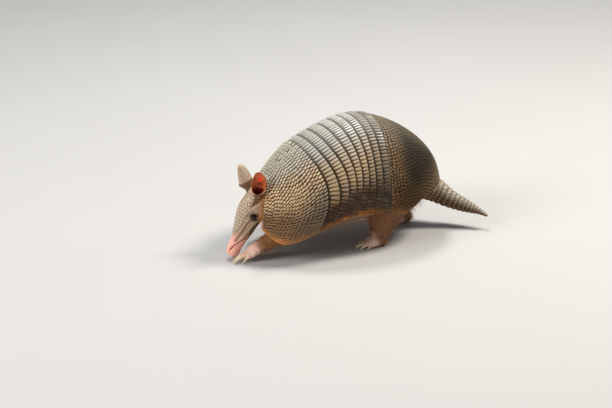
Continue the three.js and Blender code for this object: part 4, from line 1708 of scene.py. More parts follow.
@dataclass(frozen=True)
class Build:
    """The flesh of the whole animal: head, neck, trunk, legs and feet."""

    shell: ShellShape = ShellShape()
    head: HeadShape = HeadShape()
    neck: Tube = Tube(
        (
            (0, -104, 84, 32, 34),
            (0, -126, 82, 29, 30),
            (0, -141, 80, 23, 25),
            (0, -150, 77, 17, 19),
        )
    )
    belly: tuple[Point, ...] = (
        (0.05, -141, 38),
        (0.2, -90, 34),
        (0.42, -28, 35),
        (0.62, 26, 38),
        (0.8, 66, 42),
        (0.94, 98, 51),
    )
    ears: tuple[Ear, ...] = (
        Ear("ear_left", (14, -149, 97), (24.5, -155.5, 129.5), (0.7, -0.7, 0)),
        Ear(
            "ear_right",
            (-13, -151, 97),
            (-23.4, -163.6, 128),
            (-0.9, -0.1, -0.3),
            half=10.4,
            leaf=(0.34, 0.95),
        ),
    )
    legs: tuple[tuple[str, Tube], ...] = (
        ("foreleg_left", Tube(((41, -110, 60, 16, 20), (35, -128, 40, 13, 13.5), (27, -147, 26, 10, 10)))),
        ("foreleg_right", Tube(((-42, -106, 60, 16, 20), (-37, -94, 41, 13, 14), (-31, -80, 24, 10, 10)))),
        ("hindleg_left", Tube(((50, 42, 68, 17, 28), (54, 24, 43, 14, 22), (48, 24, 15, 9, 11)))),
        ("hindleg_right", Tube(((-42, 74, 66, 16, 26), (-33, 88, 42, 13, 18), (-19, 99, 15, 9, 10)))),
    )
    feet: tuple[Foot, ...] = (
        Foot("forefoot_left", LEFT, FORE_TOES, (26, -146, 26), (18, -166, 12), 11, 9.5, 7, 0.1),
        Foot("forefoot_right", RIGHT, FORE_TOES, (-31, -79, 24), (-31, -100, 12), 11, 9.5, 7, 0.1),
        Foot("hindfoot_left", LEFT, HIND_TOES, (48, 25, 11), (46, 8, 6.5), 12, 11, 7.5, 0.28),
        Foot("hindfoot_right", RIGHT, HIND_TOES, (-18, 102, 11), (-19, 76, 6.5), 12, 11, 7.5, 0.28),
    )

    trunk_depth: float = 3.5
    chest: tuple[Point, ...] = ((1, 0, 0), (0.8, -6, 2), (0.45, -10, 3))
    rump: tuple[Point, ...] = ((1, 0, 0), (0.76, 11, -2), (0.5, 20, -5))

    def trunk(self) -> Array:
        """The trunk as closed rings: under the shell from rim to rim, then round the belly."""
        along = np.linspace(0.09, 0.91, 60)
        round_ = np.linspace(-0.93, 0.93, 70)
        a, r = np.meshgrid(along, round_, indexing="ij")
        back = self.shell.lifted(a, r, np.float64(-self.trunk_depth))
        angle = np.linspace(0, math.pi, 40)[1:-1]
        sag = np.sin(angle)
        belly = Spline([b[0] for b in self.belly], [b[1:] for b in self.belly])(along)
        edge = back[:, -1]
        x = edge[:, :1] * np.cos(angle)
        y, z = (edge[:, k : k + 1] + (belly[:, k - 1 : k] - edge[:, k : k + 1]) * sag for k in (1, 2))
        rings = np.concatenate([back, np.stack([x, y, z], -1)], 1)
        chest = self._ends(rings[0], Spline((0, 0.5, 1), self.chest))
        rump = self._ends(rings[-1], Spline((0, 0.5, 1), self.rump))
        return np.concatenate([chest[::-1], rings, rump])

    @staticmethod
    def _ends(ring: Array, shrink: Spline) -> Array:
        """Smaller rings that round off an end of the trunk."""
        middle = ring.mean(0)
        made = []
        for scale, y, z in shrink(np.linspace(0, 1, 9)[1:]):
            made.append((ring - middle) * scale + middle + [0, y, z])
        return np.array(made)

    def soup(self) -> Soup:
        """Every body of flesh but the ears, overlapping."""
        made = Soup()
        made.tube(self.head.rings())
        made.tube(self.neck.rings(30, 80, 0.3))
        made.tube(self.trunk())
        for _, leg in self.legs:
            made.tube(leg.rings(30, 50, 0.45))
        for foot in self.feet:
            for rings in foot.flesh():
                made.tube(rings)
        return made


def fused(mesh: Mesh, voxel: float, passes: int) -> Mesh:
    """Melts overlapping bodies into one surface.

    Args:
        mesh: The overlapping bodies.
        voxel: The size of the new faces.
        passes: How often the new surface is smoothed.

    Returns:
        The new mesh.
    """
    body = bpy.data.objects.new("melting", mesh)
    bpy.context.scene.collection.objects.link(body)
    melt = body.modifiers.new("melt", "REMESH")
    melt.mode = "VOXEL"
    melt.voxel_size = voxel
    ease = body.modifiers.new("ease", "SMOOTH")
    ease.factor = 0.5
    ease.iterations = passes
    graph = bpy.context.evaluated_depsgraph_get()
    made = bpy.data.meshes.new_from_object(body.evaluated_get(graph))
    bpy.data.objects.remove(body)
    return made


def quads_of(mesh: Mesh) -> Array:
    """The four corners of every face of an all-quad mesh."""
    found = np.empty(len(mesh.loops), np.int32)
    mesh.loops.foreach_get("vertex_index", found)
    return found.reshape(-1, 4)


def beside(line: Sequence[Span], first: Array, second: Array) -> Array:
    """Distance from a broken line in the plane.

    Args:
        line: Its corners.
        first: First coordinates of the places.
        second: Second coordinates of the places.

    Returns:
        The distance of each place.
    """
    places = np.stack([first, second], -1)
    best = np.full(len(places), ENDLESS)
    for start, end in zip(line[:-1], line[1:]):
        a, b = np.array(start, float), np.array(end, float)
        run = b - a
        share = np.clip((places - a) @ run / (run @ run), 0, 1)
        best = np.minimum(best, np.linalg.norm(places - a - share[:, None] * run, axis=-1))
    return best


@dataclass(frozen=True)
class Surface:
    """Points of the skin where hairs can stand."""

    points: Array
    normals: Array
    marks: dict[str, Array]


@dataclass(frozen=True)
class Fold:
    """A line on the side of the head, along and up: its width and how far it is raised."""

    line: Line
    width: float
    raised: float


FOLDS = {
    "mouth": Fold(((-7.0, 4.4), (1.0, 4.8), (7.4, 3.6), (16.0, -0.8), (24.8, -5.1)), 0.9, -1.8),
    "cheek": Fold(((54.0, 2.5), (44.0, 4.6), (34.0, 3.4), (22.0, 4.0), (15.0, 4.6)), 1.3, -1.1),
    "jowl": Fold(((64.0, -7.0), (50.0, -6.5), (38.0, -4.5), (27.0, -3.5)), 1.2, -0.9),
    "brow": Fold(((60.0, 12.0), (68.0, 9.2), (77.0, 4.6), (84.0, 0.0)), 1.5, 1.5),
    "strip": Fold(
        ((74.0, -2.0), (61.2, -5.0), (51.3, -5.4), (40.8, -3.2), (32.5, -3.4), (22.0, -1.0)), 1.5, 1.2
    ),
    "pouch": Fold(((53.5, 3.2), (52.4, -0.5), (54.5, -3.6)), 0.9, -0.8),
}


@dataclass(frozen=True)
class Skin:
    """One skin over all the flesh, with its folds, eyelids, nostrils, mouth and toes."""

    body: Build
    voxel: float = 1.0
    passes: int = 5
    eye_size: Span = (3.6, 4.9)
    socket: float = 3.0
    lids: tuple[Point, ...] = ((1.25, 0.22, 1.0), (1.85, 0.2, 0.45), (2.5, 0.22, 0.3))
    nostril: float = 1.6
    temple: float = 1.0
    ear_sunk: float = 4.5
    snout_rings: float = 0.38
    cheek_lines: float = 0.25
    leg_folds: float = 0.4
    lumps: Line = ((5.0, 0.7), (2.4, 0.35))

    def _head_marks(self, points: Array) -> dict[str, Array]:
        """Features of the head as numbers from 0 to 1 at each point."""
        head_shape = self.body.head
        along, up, x = head_shape.read(points)
        ring = head_shape.curve()(np.clip(along, head_shape.stations[0][0], head_shape.stations[-1][0]))
        off = np.hypot(x / ring[:, 1], (up - ring[:, 0]) / ring[:, 2])
        head = (1 - smooth(off, 1.12, 1.35)) * (1 - smooth(along, 92, 104)) * smooth(along, -16, -10)
        wide = smooth(np.abs(x) / ring[:, 1], 0.3, 0.55)
        eye_a, eye_u = head_shape.eye
        eye = np.hypot((along - eye_a) / self.eye_size[0], (up - eye_u + 0.4) / self.eye_size[1])
        over = up - np.interp(along, *zip(*FOLDS["brow"].line))
        front = np.hypot(np.abs(x) - 3.0, up - ring[:, 0] - 1.4)
        marks = {
            "head": head,
            "along": along,
            "up": up - ring[:, 0],
            "eye": np.where((head > 0.2) & (np.abs(x) > 8), eye, FAR),
            "nostril": (1 - smooth(front, 0.8, 1.9)) * (1 - smooth(along, -5.5, -4.0)) * head,
            "temple": smooth(along, 61, 67) * smooth(over, 0.6, 2.2) * wide * head,
        }
        for name, fold in FOLDS.items():
            marks[name] = bell(beside(fold.line, along, up), fold.width) * wide * head
        return marks

    def _sculpt(self, points: Array, marks: dict[str, Array]) -> Array:
        """How far each point is raised along its normal, in millimetres."""
        head, along, eye, low = marks["head"], marks["along"], marks["eye"], -marks["up"]
        raised = -self.socket * (1 - smooth(eye, 0.72, 1.02))
        for ring, width, rise in self.lids:
            raised += rise * bell(eye - ring, width)
        for name, fold in FOLDS.items():
            raised += fold.raised * marks[name]
        raised -= self.nostril * marks["nostril"] + self.temple * marks["temple"]
        for ear in self.body.ears:
            apart = np.linalg.norm(points - ear.canal(), axis=-1)
            raised -= self.ear_sunk * (1 - smooth(apart, 4.0, 9.0))
        crumple = cloud(points, 7.0, Seed.CRUMPLE) - 0.5
        rings = np.sin(along * 1.7 + 6 * crumple) * smooth(along, -3, 6) * (1 - smooth(along, 34, 48))
        raised += self.snout_rings * rings * head * smooth(low, -9, 2)
        lines = np.sin((along * 0.5 - low * 1.5) + 7 * crumple)
        raised += self.cheek_lines * lines * head * smooth(along, 30, 44) * smooth(low, -8, 0)
        for (size, rise), seed in zip(self.lumps, (Seed.LUMPS, Seed.PEBBLES)):
            raised += (cloud(points, size, seed) - 0.5) * rise
        folds = np.sin(points[:, 1] * 0.9 + 4 * crumple)
        raised += self.leg_folds * folds * (1 - head) * (1 - smooth(points[:, 2], 44, 60))
        return raised

    def _limb_marks(self, points: Array) -> tuple[Array, Array]:
        """How much each point belongs to a leg and to a foot."""
        leg = np.zeros(len(points))
        foot = np.zeros(len(points))
        for _, tube in self.body.legs:
            apart, place = tube.near(points)
            leg = np.maximum(leg, (1 - smooth(apart, 1.15, 1.6)) * smooth(place, 0.05, 0.35))
        for part in self.body.feet:
            apart, place = part.palm().near(points)
            foot = np.maximum(foot, (1 - smooth(apart, 1.5, 2.3)) * smooth(place, 0.05, 0.75))
            for toe in part.toes:
                start, claw, _, _ = part.line(toe)
                apart = np.linalg.norm(points - (start + claw) / 2, axis=-1)
                foot = np.maximum(foot, 1 - smooth(apart, 7, 11))
        return leg * (1 - foot), foot

    def _painted(self, points: Array, features: dict[str, Array]) -> dict[str, Array]:
        """Where each colour of the skin lies.

        Args:
            points: The skin's points.
            features: The features of the head at them.

        Returns:
            The numbers that the finish reads.
        """
        leg, foot = self._limb_marks(points)
        head, along, eye, low = features["head"], features["along"], features["eye"], -features["up"]
        # The dark ring round the eye is painted shade, with the shadow of the brow; the folds, nostrils,
        # lower lid pouch and the skin beside the ears' hollows are darkened as painted shade too.
        lid = 1 - smooth(eye, 1.2, 1.5) + 0.7 * bell(eye - 1.75, 0.13)
        crease_shade_and_seams = 0.8 * features["cheek"] + 0.6 * features["jowl"] + features["nostril"] + np.clip(lid, 0, 1)
        crease_shade_and_seams = crease_shade_and_seams + 0.9 * features["pouch"]
        for ear in self.body.ears:
            crease_shade_and_seams = crease_shade_and_seams + 1 - smooth(np.linalg.norm(points - ear.canal(), axis=-1), 6.0, 9.5)
        # Painted shade under the head and on the temples behind the brow.
        cheek = 0.8 * smooth(low, 1.5, 5) * smooth(along, 20, 34) + features["temple"]
        none = np.zeros(len(points))
        return {
            "face": head * smooth(along, 2, 14),
            "cheek": head * np.clip(cheek, 0, 1),
            "pale": np.clip(features["brow"] + features["strip"], 0, 1) * smooth(eye, 1.1, 1.5),
            "snout": head * (1 - smooth(along, 8, 34)),
            "scaly": np.clip(head * smooth(along, 10, 30) + leg + foot * 0.35, 0, 1),
            "glow": none,
            "mouth": features["mouth"],
            "crease_shade_and_seams": np.clip(crease_shade_and_seams, 0, 1),
            "leg": leg * (1 - head),
            "foot": foot * (1 - head),
            "ear": none,
            "ear_far": none,
            "canal": none,
        }

    def build(self, shop: Workshop, finish: Material) -> Surface:
        """Makes the skin.

        Args:
            shop: Places it in the model.
            finish: Its material.

        Returns:
            Its surface, for the hairs.
        """
        melted = fused(self.body.soup().mesh("flesh"), self.voxel, self.passes)
        points, normals = points_of(melted), normals_of(melted)
        features = self._head_marks(points)
        points = points + normals * self._sculpt(points, features)[:, None]
        points[:, 2] = np.maximum(points[:, 2], 0.0)
        marks = self._painted(points, features)
        surface = Surface(points, normals, dict(marks))
        soup = Soup([points], [quads_of(melted)], [], len(points))
        for ear in self.body.ears:
            grid, drawn = ear.build()
            soup.tube(grid)
            drawn["ear_far"] = np.full(grid.shape[:2], float(ear.node.endswith("right")))
            for name in marks:
                values = drawn.get(name, np.zeros(grid.shape[:2])).ravel()
                marks[name] = np.concatenate([marks[name], values, values[:1], values[-1:]])
        nodes = ["head", "neck", "trunk", *(ear.node for ear in self.body.ears)]
        nodes += [name for name, _ in self.body.legs] + [foot.node for foot in self.body.feet]
        shop.piece(soup.mesh("skin"), finish, "body_skin", nodes, marks)
        return surface


@dataclass(frozen=True)
class HeadShield:
    """The scaled plate over the brow and crown."""

    head: HeadShape
    first: float = 21.0
    last: float = 90.0
    spread: Line = ((0, 0.6), (0.35, 0.93), (0.6, 0.92), (0.8, 0.8), (1, 0.6))
    pitch: float = 5.0
    growth: Span = (0.72, 1.12)
    jitter: float = 0.42
    edge: float = 4.5
    raised: float = 1.3
    relief: float = 0.35
    rows: int = 170
    columns: int = 130

    def build(self, shop: Workshop, finish: Material) -> Object:
        """Makes the shield."""
        length = self.last - self.first
        share, aside = np.linspace(0, 1, self.rows), np.linspace(-1, 1, self.columns)
        spread = Spline(*zip(*self.spread))(share)[:, None]
        s, a = np.meshgrid(share, aside, indexing="ij")
        waver = 1 + 0.05 * (cloud(np.stack([s * 60, a * 0, a * 0], -1), 6.0, Seed.BROW) - 0.5)
        angle = a * spread * waver
        along = self.first + length * s
        half = self.head.curve()(along)[..., 1]
        pitch = np.linspace(*self.growth, self.rows) * self.pitch
        row = np.broadcast_to(np.cumsum(length / self.rows / pitch)[:, None], s.shape)
        edge, tint, _ = ScuteLattice(Seed.CROWN, self.jitter).read(row, angle * half / pitch[:, None])
        scute = smooth(edge, 0.02, 0.34)
        rim = np.minimum((1 - np.abs(a)) * spread * half, np.minimum(s, 1 - s) * length)
        body = smooth(rim, 0.0, self.edge)
        bumps = self.relief * scute * (0.6 + 0.5 * tint) * smooth(rim, 0.5, 3)
        lift = -0.5 + self.raised * body + bumps
        lift = np.where(rim < 0.01, -1.2, lift)
        soup = Soup()
        soup.sheet(self.head.point(along, angle, lift)[:, ::-1])
        marks = {
            "scute": scute * smooth(rim, 0.0, 1.2),
            "tint": tint,
            # The middle of the shield takes more of the pale top tone, partly rubbed by use and partly
            # painted highlight.
            "wear_and_highlight": 0.35 + 0.4 * body,
            # The shield's sides take the ramp's darker tones as painted shade.
            "flank": np.abs(a) * 0.6,
        }
        marks = {name: values[:, ::-1] for name, values in marks.items()}
        return shop.piece(soup.mesh("head_shield_scutes"), finish, "head_shield", ["head_shield"], marks)


@dataclass(frozen=True)
class Tail:
    """The tail in rings of scutes that shrink towards its tip."""

    tube: Tube = Tube(
        (
            (2, 104, 66, 19, 19),
            (5, 131, 54, 17.4, 17.4),
            (15, 148, 42.5, 13.6, 13.6),
            (28, 163, 34, 10.2, 10.2),
            (42, 177, 28, 6.6, 6.6),
            (52, 185, 24.5, 3.8, 3.8),
            (62, 191, 20.5, 1.8, 1.8),
        )
    )
    rows: int = 420
    columns: int = 150
    front: float = 0.24
    ring_pitch: Span = (2.6, 0.42)
    scute_width: Span = (1.4, 0.17)
    fewest: int = 5
    rise: float = 0.9
    groove: float = 0.75
    relief: float = 0.5
    plump_at: float = 9.0
    slimming: float = 0.985
    tip_from: float = 0.975

    def build(self, shop: Workshop, finish: Material) -> Object:
        """Makes the tail's armour."""
        share, angle = np.linspace(0, 1, self.rows), circle(self.columns)
        here, _, across, up = self.tube.frame(share)
        run, size = length_along(here[:, :3]), here[:, 3]
        pitch = self.ring_pitch[0] + self.ring_pitch[1] * size
        ring = np.concatenate([[0], np.cumsum(np.diff(run) / pitch[1:])])
        number = np.floor(ring)
        part = ring - number
        girth = FULL_TURN * np.interp(number, ring, size)
        wide = self.scute_width[0] + self.scute_width[1] * size
        count = np.maximum(np.round(girth / wide), self.fewest)[:, None]
        front = self.front
        inner = np.where(part < front, part / front, (part - front) / (1 - front))[:, None]
        row = (number * 2 + (part >= front))[:, None]
        place = angle[None] / FULL_TURN * count + 0.5 * (row % 2)
        tint = scatter([np.broadcast_to(row, place.shape), np.floor(place) % count], Seed.TAIL)
        sides = np.abs(place - np.floor(place) - 0.5)
        scute = smooth(0.5 - sides, 0.015, 0.2) * smooth(np.minimum(inner, 1 - inner), 0.01, 0.16)
        plump = np.minimum(1.0, size / self.plump_at)[:, None]
        step = self.rise * smooth(part, 0.0, 0.75) - self.groove * (1 - smooth(part, 0.0, 0.14))
        lift = step[:, None] * plump + self.relief * scute * plump * (0.7 + 0.5 * tint)
        past = np.clip((share - self.tip_from) / (1 - self.tip_from), 0, 1)
        tip = np.sqrt(np.clip(1 - past**2, 0.02, 1))
        radius = (size[:, None] * self.slimming + lift) * tip[:, None]
        grid = here[:, None, :3] + across[:, None] * (np.cos(angle)[None] * radius)[..., None]
        soup = Soup()
        soup.tube(grid + up[:, None] * (np.sin(angle)[None] * radius)[..., None])
        low = 0.5 + 0.5 * np.sin(angle)[None]
        # The undersides of the rings take the darker flank tones as painted shade, and only the tops take
        # the pale tone, partly rubbed by use and partly painted highlight.
        marks = {
            "scute": (scute * smooth(part, 0.0, 0.10)[:, None], (0, 1)),
            "tint": (tint, (0, 0)),
            "wear_and_highlight": (0.25 + 0.75 * part[:, None] * (1 - low), (0, 0)),
            "flank": (0.1 + 0.8 * smooth(low + 0.12 * (tint - 0.5), 0.36, 0.70), (1, 1)),
        }
        marks = {name: np.concatenate([values.ravel(), ends]) for name, (values, ends) in marks.items()}
        nodes = ["tail_base", "tail_mid", "tail_tip"]
        return shop.piece(soup.mesh("tail_rings"), finish, "tail_armour", nodes, marks)


@dataclass(frozen=True)
class Eyes:
    """The two eyeballs."""

    place: Point = EYE_PLACE
    radius: float = 4.1
    rings: int = 24
    sides: int = 40

    def build(self, shop: Workshop, finish: Material) -> None:
        """Makes both eyes."""
        turn = np.linspace(0, math.pi, self.rings + 2)[1:-1]
        angle = circle(self.sides)[None, :, None]
        bulge = self.radius * (1 + 0.03 * bell(turn, 0.5))
        ring = np.concatenate([np.repeat(turn / 1.1, self.sides), [0, 3]])
        for name, side in (("left", LEFT), ("right", RIGHT)):
            look = unit(np.array([side, -0.25, 0.1]))
            first = unit(np.cross(look, [0, 0, 1.0]))
            spin = np.cos(angle) * first + np.sin(angle) * np.cross(look, first)
            grid = np.cos(turn)[:, None, None] * look + np.sin(turn)[:, None, None] * spin
            centre = np.array([self.place[0] * side, *self.place[1:]])
            soup = Soup()
            soup.tube((centre + grid * bulge[:, None, None])[:, ::-1])
            shop.piece(soup.mesh(f"eyeball_{name}"), finish, "eye", [f"eye_{name}"], {"ring": ring})


@dataclass(frozen=True)
class Claws:
    """The claws, one piece for each foot."""

    feet: tuple[Foot, ...]

    def build(self, shop: Workshop, finish: Material) -> None:
        """Makes every claw."""
        for foot in self.feet:
            soup = Soup()
            along = foot.claws(soup)
            nodes = [f"{foot.node}_claw_{k + 1}" for k in range(len(foot.toes))]
            shop.piece(soup.mesh(f"{foot.node}_claws"), finish, "claw", nodes, {"along": along})


# ---- Bristles ----


@dataclass(frozen=True)
class Growth:
    """One kind of hair: its piece, its amount, and its length, thickness and depth of root in mm."""

    name: str
    slot: str
    seed: int
    amount: float
    length: float
    width: float
    depth: float = 0.0


@dataclass
class Bristles:
    """Thin tapered hairs, gathered into one mesh."""

    growth: Growth
    rings: int = 4
    sides: int = 3
    patch: float = 0.003
    margin: float = 0.01
    spare: float = 0.97
    lowest: float = 0.4
    roots: list[Array] = field(default_factory=list)
    heads: list[Array] = field(default_factory=list)
    falls: list[Array] = field(default_factory=list)
    lengths: list[Array] = field(default_factory=list)
    widths: list[Array] = field(default_factory=list)
    charts: list[Array] = field(default_factory=list)

    def sow(self, roots: Array, heads: Array, falls: Array, chart: Array) -> None:
        """Adds hairs.

        Args:
            roots: Where they stand.
            heads: Which way they start.
            falls: Where their tips lean.
            chart: Their roots' places on the unwrapped surface, from 0 to 1.
        """
        count = len(roots)
        rng = np.random.default_rng(self.growth.seed + len(self.roots))
        wander = rng.normal(0, 0.28, (count, 3))
        self.roots.append(roots)
        self.heads.append(unit(heads + wander))
        self.falls.append(falls + rng.normal(0, 0.25, (count, 3)))
        self.lengths.append(self.growth.length * rng.uniform(0.55, 1.25, count))
        self.widths.append(self.growth.width * rng.uniform(0.75, 1.2, count))
        self.charts.append(np.clip(chart, 0, 1))

    def build(self, shop: Workshop, finish: Material) -> Object:
        """Makes all the hairs as one piece."""
        roots, heads = np.concatenate(self.roots), np.concatenate(self.heads)
        falls, lengths = np.concatenate(self.falls), np.concatenate(self.lengths)
        widths, charts = np.concatenate(self.widths), np.concatenate(self.charts)
        count, rings, sides = len(roots), self.rings, self.sides
        side = unit(np.cross(heads, unit(falls + [0.01, 0.02, 0.03])))
        other = np.cross(heads, side)
        share = np.linspace(0, 1, rings + 1)
        bent = heads[:, None] * share[None, :, None] + falls[:, None] * (share**2)[None, :, None]
        path = roots[:, None] + bent * lengths[:, None, None]
        path[..., 2] = np.maximum(path[..., 2], self.lowest)
        angle = circle(sides)[None, :, None]
        thick = (1 - share[:rings]) ** 0.7
        spin = side[:, None] * np.cos(angle) + other[:, None] * np.sin(angle)
        radius = thick[None, :, None, None] * widths[:, None, None, None]
        body = path[:, :rings, None] + spin[:, None] * radius
        points = np.concatenate([body.reshape(count, -1, 3), path[:, -1:]], 1).reshape(-1, 3)
        tip = rings * sides
        last = tip - sides
        ends = [[last + k, last + (k + 1) % sides, tip] for k in range(sides)] + [[2, 1, 0]]
        start = (np.arange(count) * (tip + 1))[:, None, None]
        shapes = (sheet_faces(rings, sides, True), np.array(ends))
        faces = [(shape[None] + start).reshape(-1, shape.shape[1]) for shape in shapes]
        mesh = mesh_of(self.growth.name, points, faces)
        along = np.concatenate([np.repeat(share[:rings], sides), [1.0]])
        round_ = np.concatenate([np.tile([0, 0.5, 1.0], rings), [0.5]])
        patch = np.stack([round_, along], -1) * self.patch
        places = (self.margin + charts[:, None] * self.spare + patch[None]).reshape(-1, 2)
        corners = np.empty(len(mesh.loops), np.int32)
        mesh.loops.foreach_get("vertex_index", corners)
        layer = mesh.uv_layers.new(name="OFBake")
        layer.uv.foreach_set("vector", places[corners].astype(np.float32).ravel())
        tint = np.repeat(scatter([np.arange(count)], self.growth.seed), tip + 1)
        marks = {"along": np.tile(along, count), "tint": tint}
        return shop.piece(mesh, finish, self.growth.slot, (), marks)


@dataclass(frozen=True)
class Coat:
    """The sparse hair: fringes under the shell, fur on legs and belly, bristles on the back."""

    body: Build
    surface: Surface
    edge: Growth = Growth("neck_fringe", "body_skin", Seed.NECK_FRINGE, 2600, 7.5, 0.17, 2.2)
    rims: Growth = Growth("rim_fringe", "body_skin", Seed.RIM_FRINGE, 1500, 5.5, 0.12, 2.0)
    back: Growth = Growth("back_bristles", "body_skin", Seed.BACK_BRISTLES, 520, 5.5, 0.09, 0.3)
    legs: Growth = Growth("leg_fur", "leg_skin", Seed.LEG_FUR, 0.16, 7.0, 0.13)
    belly: Growth = Growth("belly_fur", "body_skin", Seed.BELLY_FUR, 0.06, 8.0, 0.12)
    seed: int = 5
    inset: float = 0.02
    rim: Span = (0.93, 0.995)
    first_joint: float = 0.2
    joint_gap: float = 0.0525
    joints: int = 8
    leg_share: Span = (1.3, 1.6)
    under: Span = (25, 62)
    chest_to_rump: Span = (-140, 105)

    def _ahead(self, along: Array, round_: Array) -> Array:
        """Directions along the shell towards the tail."""
        shell = self.body.shell
        return unit(shell.point(along + 0.01, round_) - shell.point(along, round_))

    def _edge(self, growth: Growth, bristles: Bristles) -> None:
        """Sows the fringe along the front edge of the shell."""
        shell, count = self.body.shell, int(growth.amount)
        rng = np.random.default_rng(self.seed)
        round_ = rng.uniform(-0.98, 0.98, count)
        inset = rng.uniform(0.0, self.inset, count)
        roots = shell.lifted(inset, round_, np.full(count, -growth.depth))
        ahead = self._ahead(inset, round_)
        chart = np.stack([(round_ + 1) / 2, inset / self.inset], -1)
        head = -ahead + 0.35 * shell.normal(inset, round_)
        bristles.sow(roots, head, -0.2 * ahead + [0, 0, -0.5], chart)

    def _rims(self, growth: Growth, bristles: Bristles) -> None:
        """Sows the fringes along the lower rims."""
        shell, count = self.body.shell, int(growth.amount)
        rng = np.random.default_rng(self.seed + 1)
        start, end = self.rim
        for side in (LEFT, RIGHT):
            along = rng.uniform(0.0, 1.0, count)
            edge = rng.uniform(start, end, count)
            roots = shell.lifted(along, edge * side, np.full(count, -growth.depth))
            down = unit(shell.point(along, edge * side) - shell.point(along, (edge - 0.02) * side))
            across = 0.25 + 0.25 * side + (edge - start) / (end - start) * 0.5 * 0.96
            bristles.sow(roots, down, np.tile([0, 0.2, -0.3], (count, 1)), np.stack([along, across], -1))

    def _back(self, growth: Growth, bristles: Bristles) -> None:
        """Sows the bristles that stand between the scutes, between the bands and along the ridge."""
        shell, count = self.body.shell, int(growth.amount)
        rng = np.random.default_rng(self.seed + 2)
        shield = rng.uniform(0.01, self.first_joint, count)
        joints = self.first_joint + self.joint_gap * rng.integers(1, self.joints + 1, count)
        places = np.concatenate([shield, joints, rng.uniform(0.03, 0.45, count)])
        low = np.sign(rng.uniform(-1, 1, count)) * rng.uniform(0.55, 0.97, count)
        round_ = np.concatenate([rng.uniform(-0.95, 0.95, count), low, rng.normal(0, 0.14, count)])
        stand = np.repeat([0.75, 0.75, 1.7], count)[:, None]
        roots = shell.lifted(places, round_, np.full(len(places), -growth.depth))
        ahead = self._ahead(places, round_)
        head = ahead + stand * shell.normal(places, round_)
        chart = np.stack([places, (round_ + 1) / 2], -1)
        bristles.sow(roots, head, 0.2 * ahead + [0, 0, -0.25], chart)

    def _legs(self, growth: Growth, bristles: Bristles) -> None:
        """Sows the fur of the legs."""
        rng = np.random.default_rng(self.seed + 3)
        surface = self.surface
        for k, (name, tube) in enumerate(self.body.legs):
            apart, place = tube.near(surface.points)
            here = (apart < 1.6) & (surface.marks["leg"] > 0.25)
            share = growth.amount * self.leg_share[name.startswith("hind")]
            chosen = np.flatnonzero(here & (rng.uniform(0, 1, len(here)) < share))
            points, normals = surface.points[chosen], surface.normals[chosen]
            station, along, across, up = tube.frame(place[chosen])
            off = points - station[:, :3]
            angle = np.arctan2(np.sum(off * up, -1), np.sum(off * across, -1)) / FULL_TURN + 0.5
            chart = np.stack([(k + angle) / len(self.body.legs), place[chosen]], -1)
            fall = np.tile([0, 0, -0.3], (len(points), 1))
            bristles.sow(points, along * 0.9 + normals * 0.4, fall, chart)

    def _belly(self, growth: Growth, bristles: Bristles) -> None:
        """Sows the fur of the belly and chest."""
        rng = np.random.default_rng(self.seed + 4)
        surface = self.surface
        x, y, z = surface.points.T
        under = (z > self.under[0]) & (z < self.under[1])
        under &= (y > self.chest_to_rump[0]) & (y < self.chest_to_rump[1])
        under &= (surface.marks["leg"] < 0.2) & (surface.marks["foot"] < 0.2)
        chosen = np.flatnonzero(under & (rng.uniform(0, 1, len(under)) < growth.amount))
        chart = np.stack([(x[chosen] + 90) / 180, (y[chosen] + 150) / 270], -1)
        head = surface.normals[chosen] * 0.5 + [0, 0.5, -0.4]
        bristles.sow(surface.points[chosen], head, np.tile([0, 0.35, -0.3], (len(chosen), 1)), chart)

    def build(self, shop: Workshop) -> None:
        """Makes every kind of hair."""
        fur = HairFinish("leg_hair", (0.18, 0.075, 0.025), (0.48, 0.26, 0.11)).build()
        orange = HairFinish("orange_hair", (0.36, 0.12, 0.025), (0.80, 0.38, 0.12)).build()
        straw = HairFinish("straw_bristle", (0.36, 0.24, 0.13), (0.78, 0.68, 0.52)).build()
        for growth, sow, finish in (
            (self.edge, self._edge, orange),
            (self.rims, self._rims, orange),
            (self.back, self._back, straw),
            (self.legs, self._legs, fur),
            (self.belly, self._belly, fur),
        ):
            bristles = Bristles(growth)
            sow(growth, bristles)
            bristles.build(shop, finish)


# ---- Stage ----


def standing(right: Array, up: Array, back: Array, place: Sequence[float]) -> Matrix:
    """The matrix of a lamp or camera that looks away from back."""
    return Matrix([[right[i], up[i], back[i], place[i]] for i in range(3)] + [[0, 0, 0, 1]])


@dataclass(frozen=True)
class Lamp:
    """A soft round lamp, in metres, watts and colour; one that leaves no highlights is only diffuse."""

    name: str
    place: Point
    size: float
    watts: float
    colour: Colour
    highlights: bool = True

    def build(self, aim: Point) -> None:
        """Hangs the lamp so that it faces a place."""
        data = bpy.data.lights.new(self.name, "AREA")
        data.shape = "DISK"
        data.size = self.size
        data.energy = self.watts
        data.color = self.colour
        lamp = bpy.data.objects.new(self.name, data)
        back = unit(np.array(self.place, float) - np.array(aim))
        right = unit(np.cross([0, 0, 1], back))
        lamp.matrix_world = standing(right, np.cross(back, right), back, self.place)
        lamp.visible_glossy = self.highlights
        bpy.context.scene.collection.objects.link(lamp)


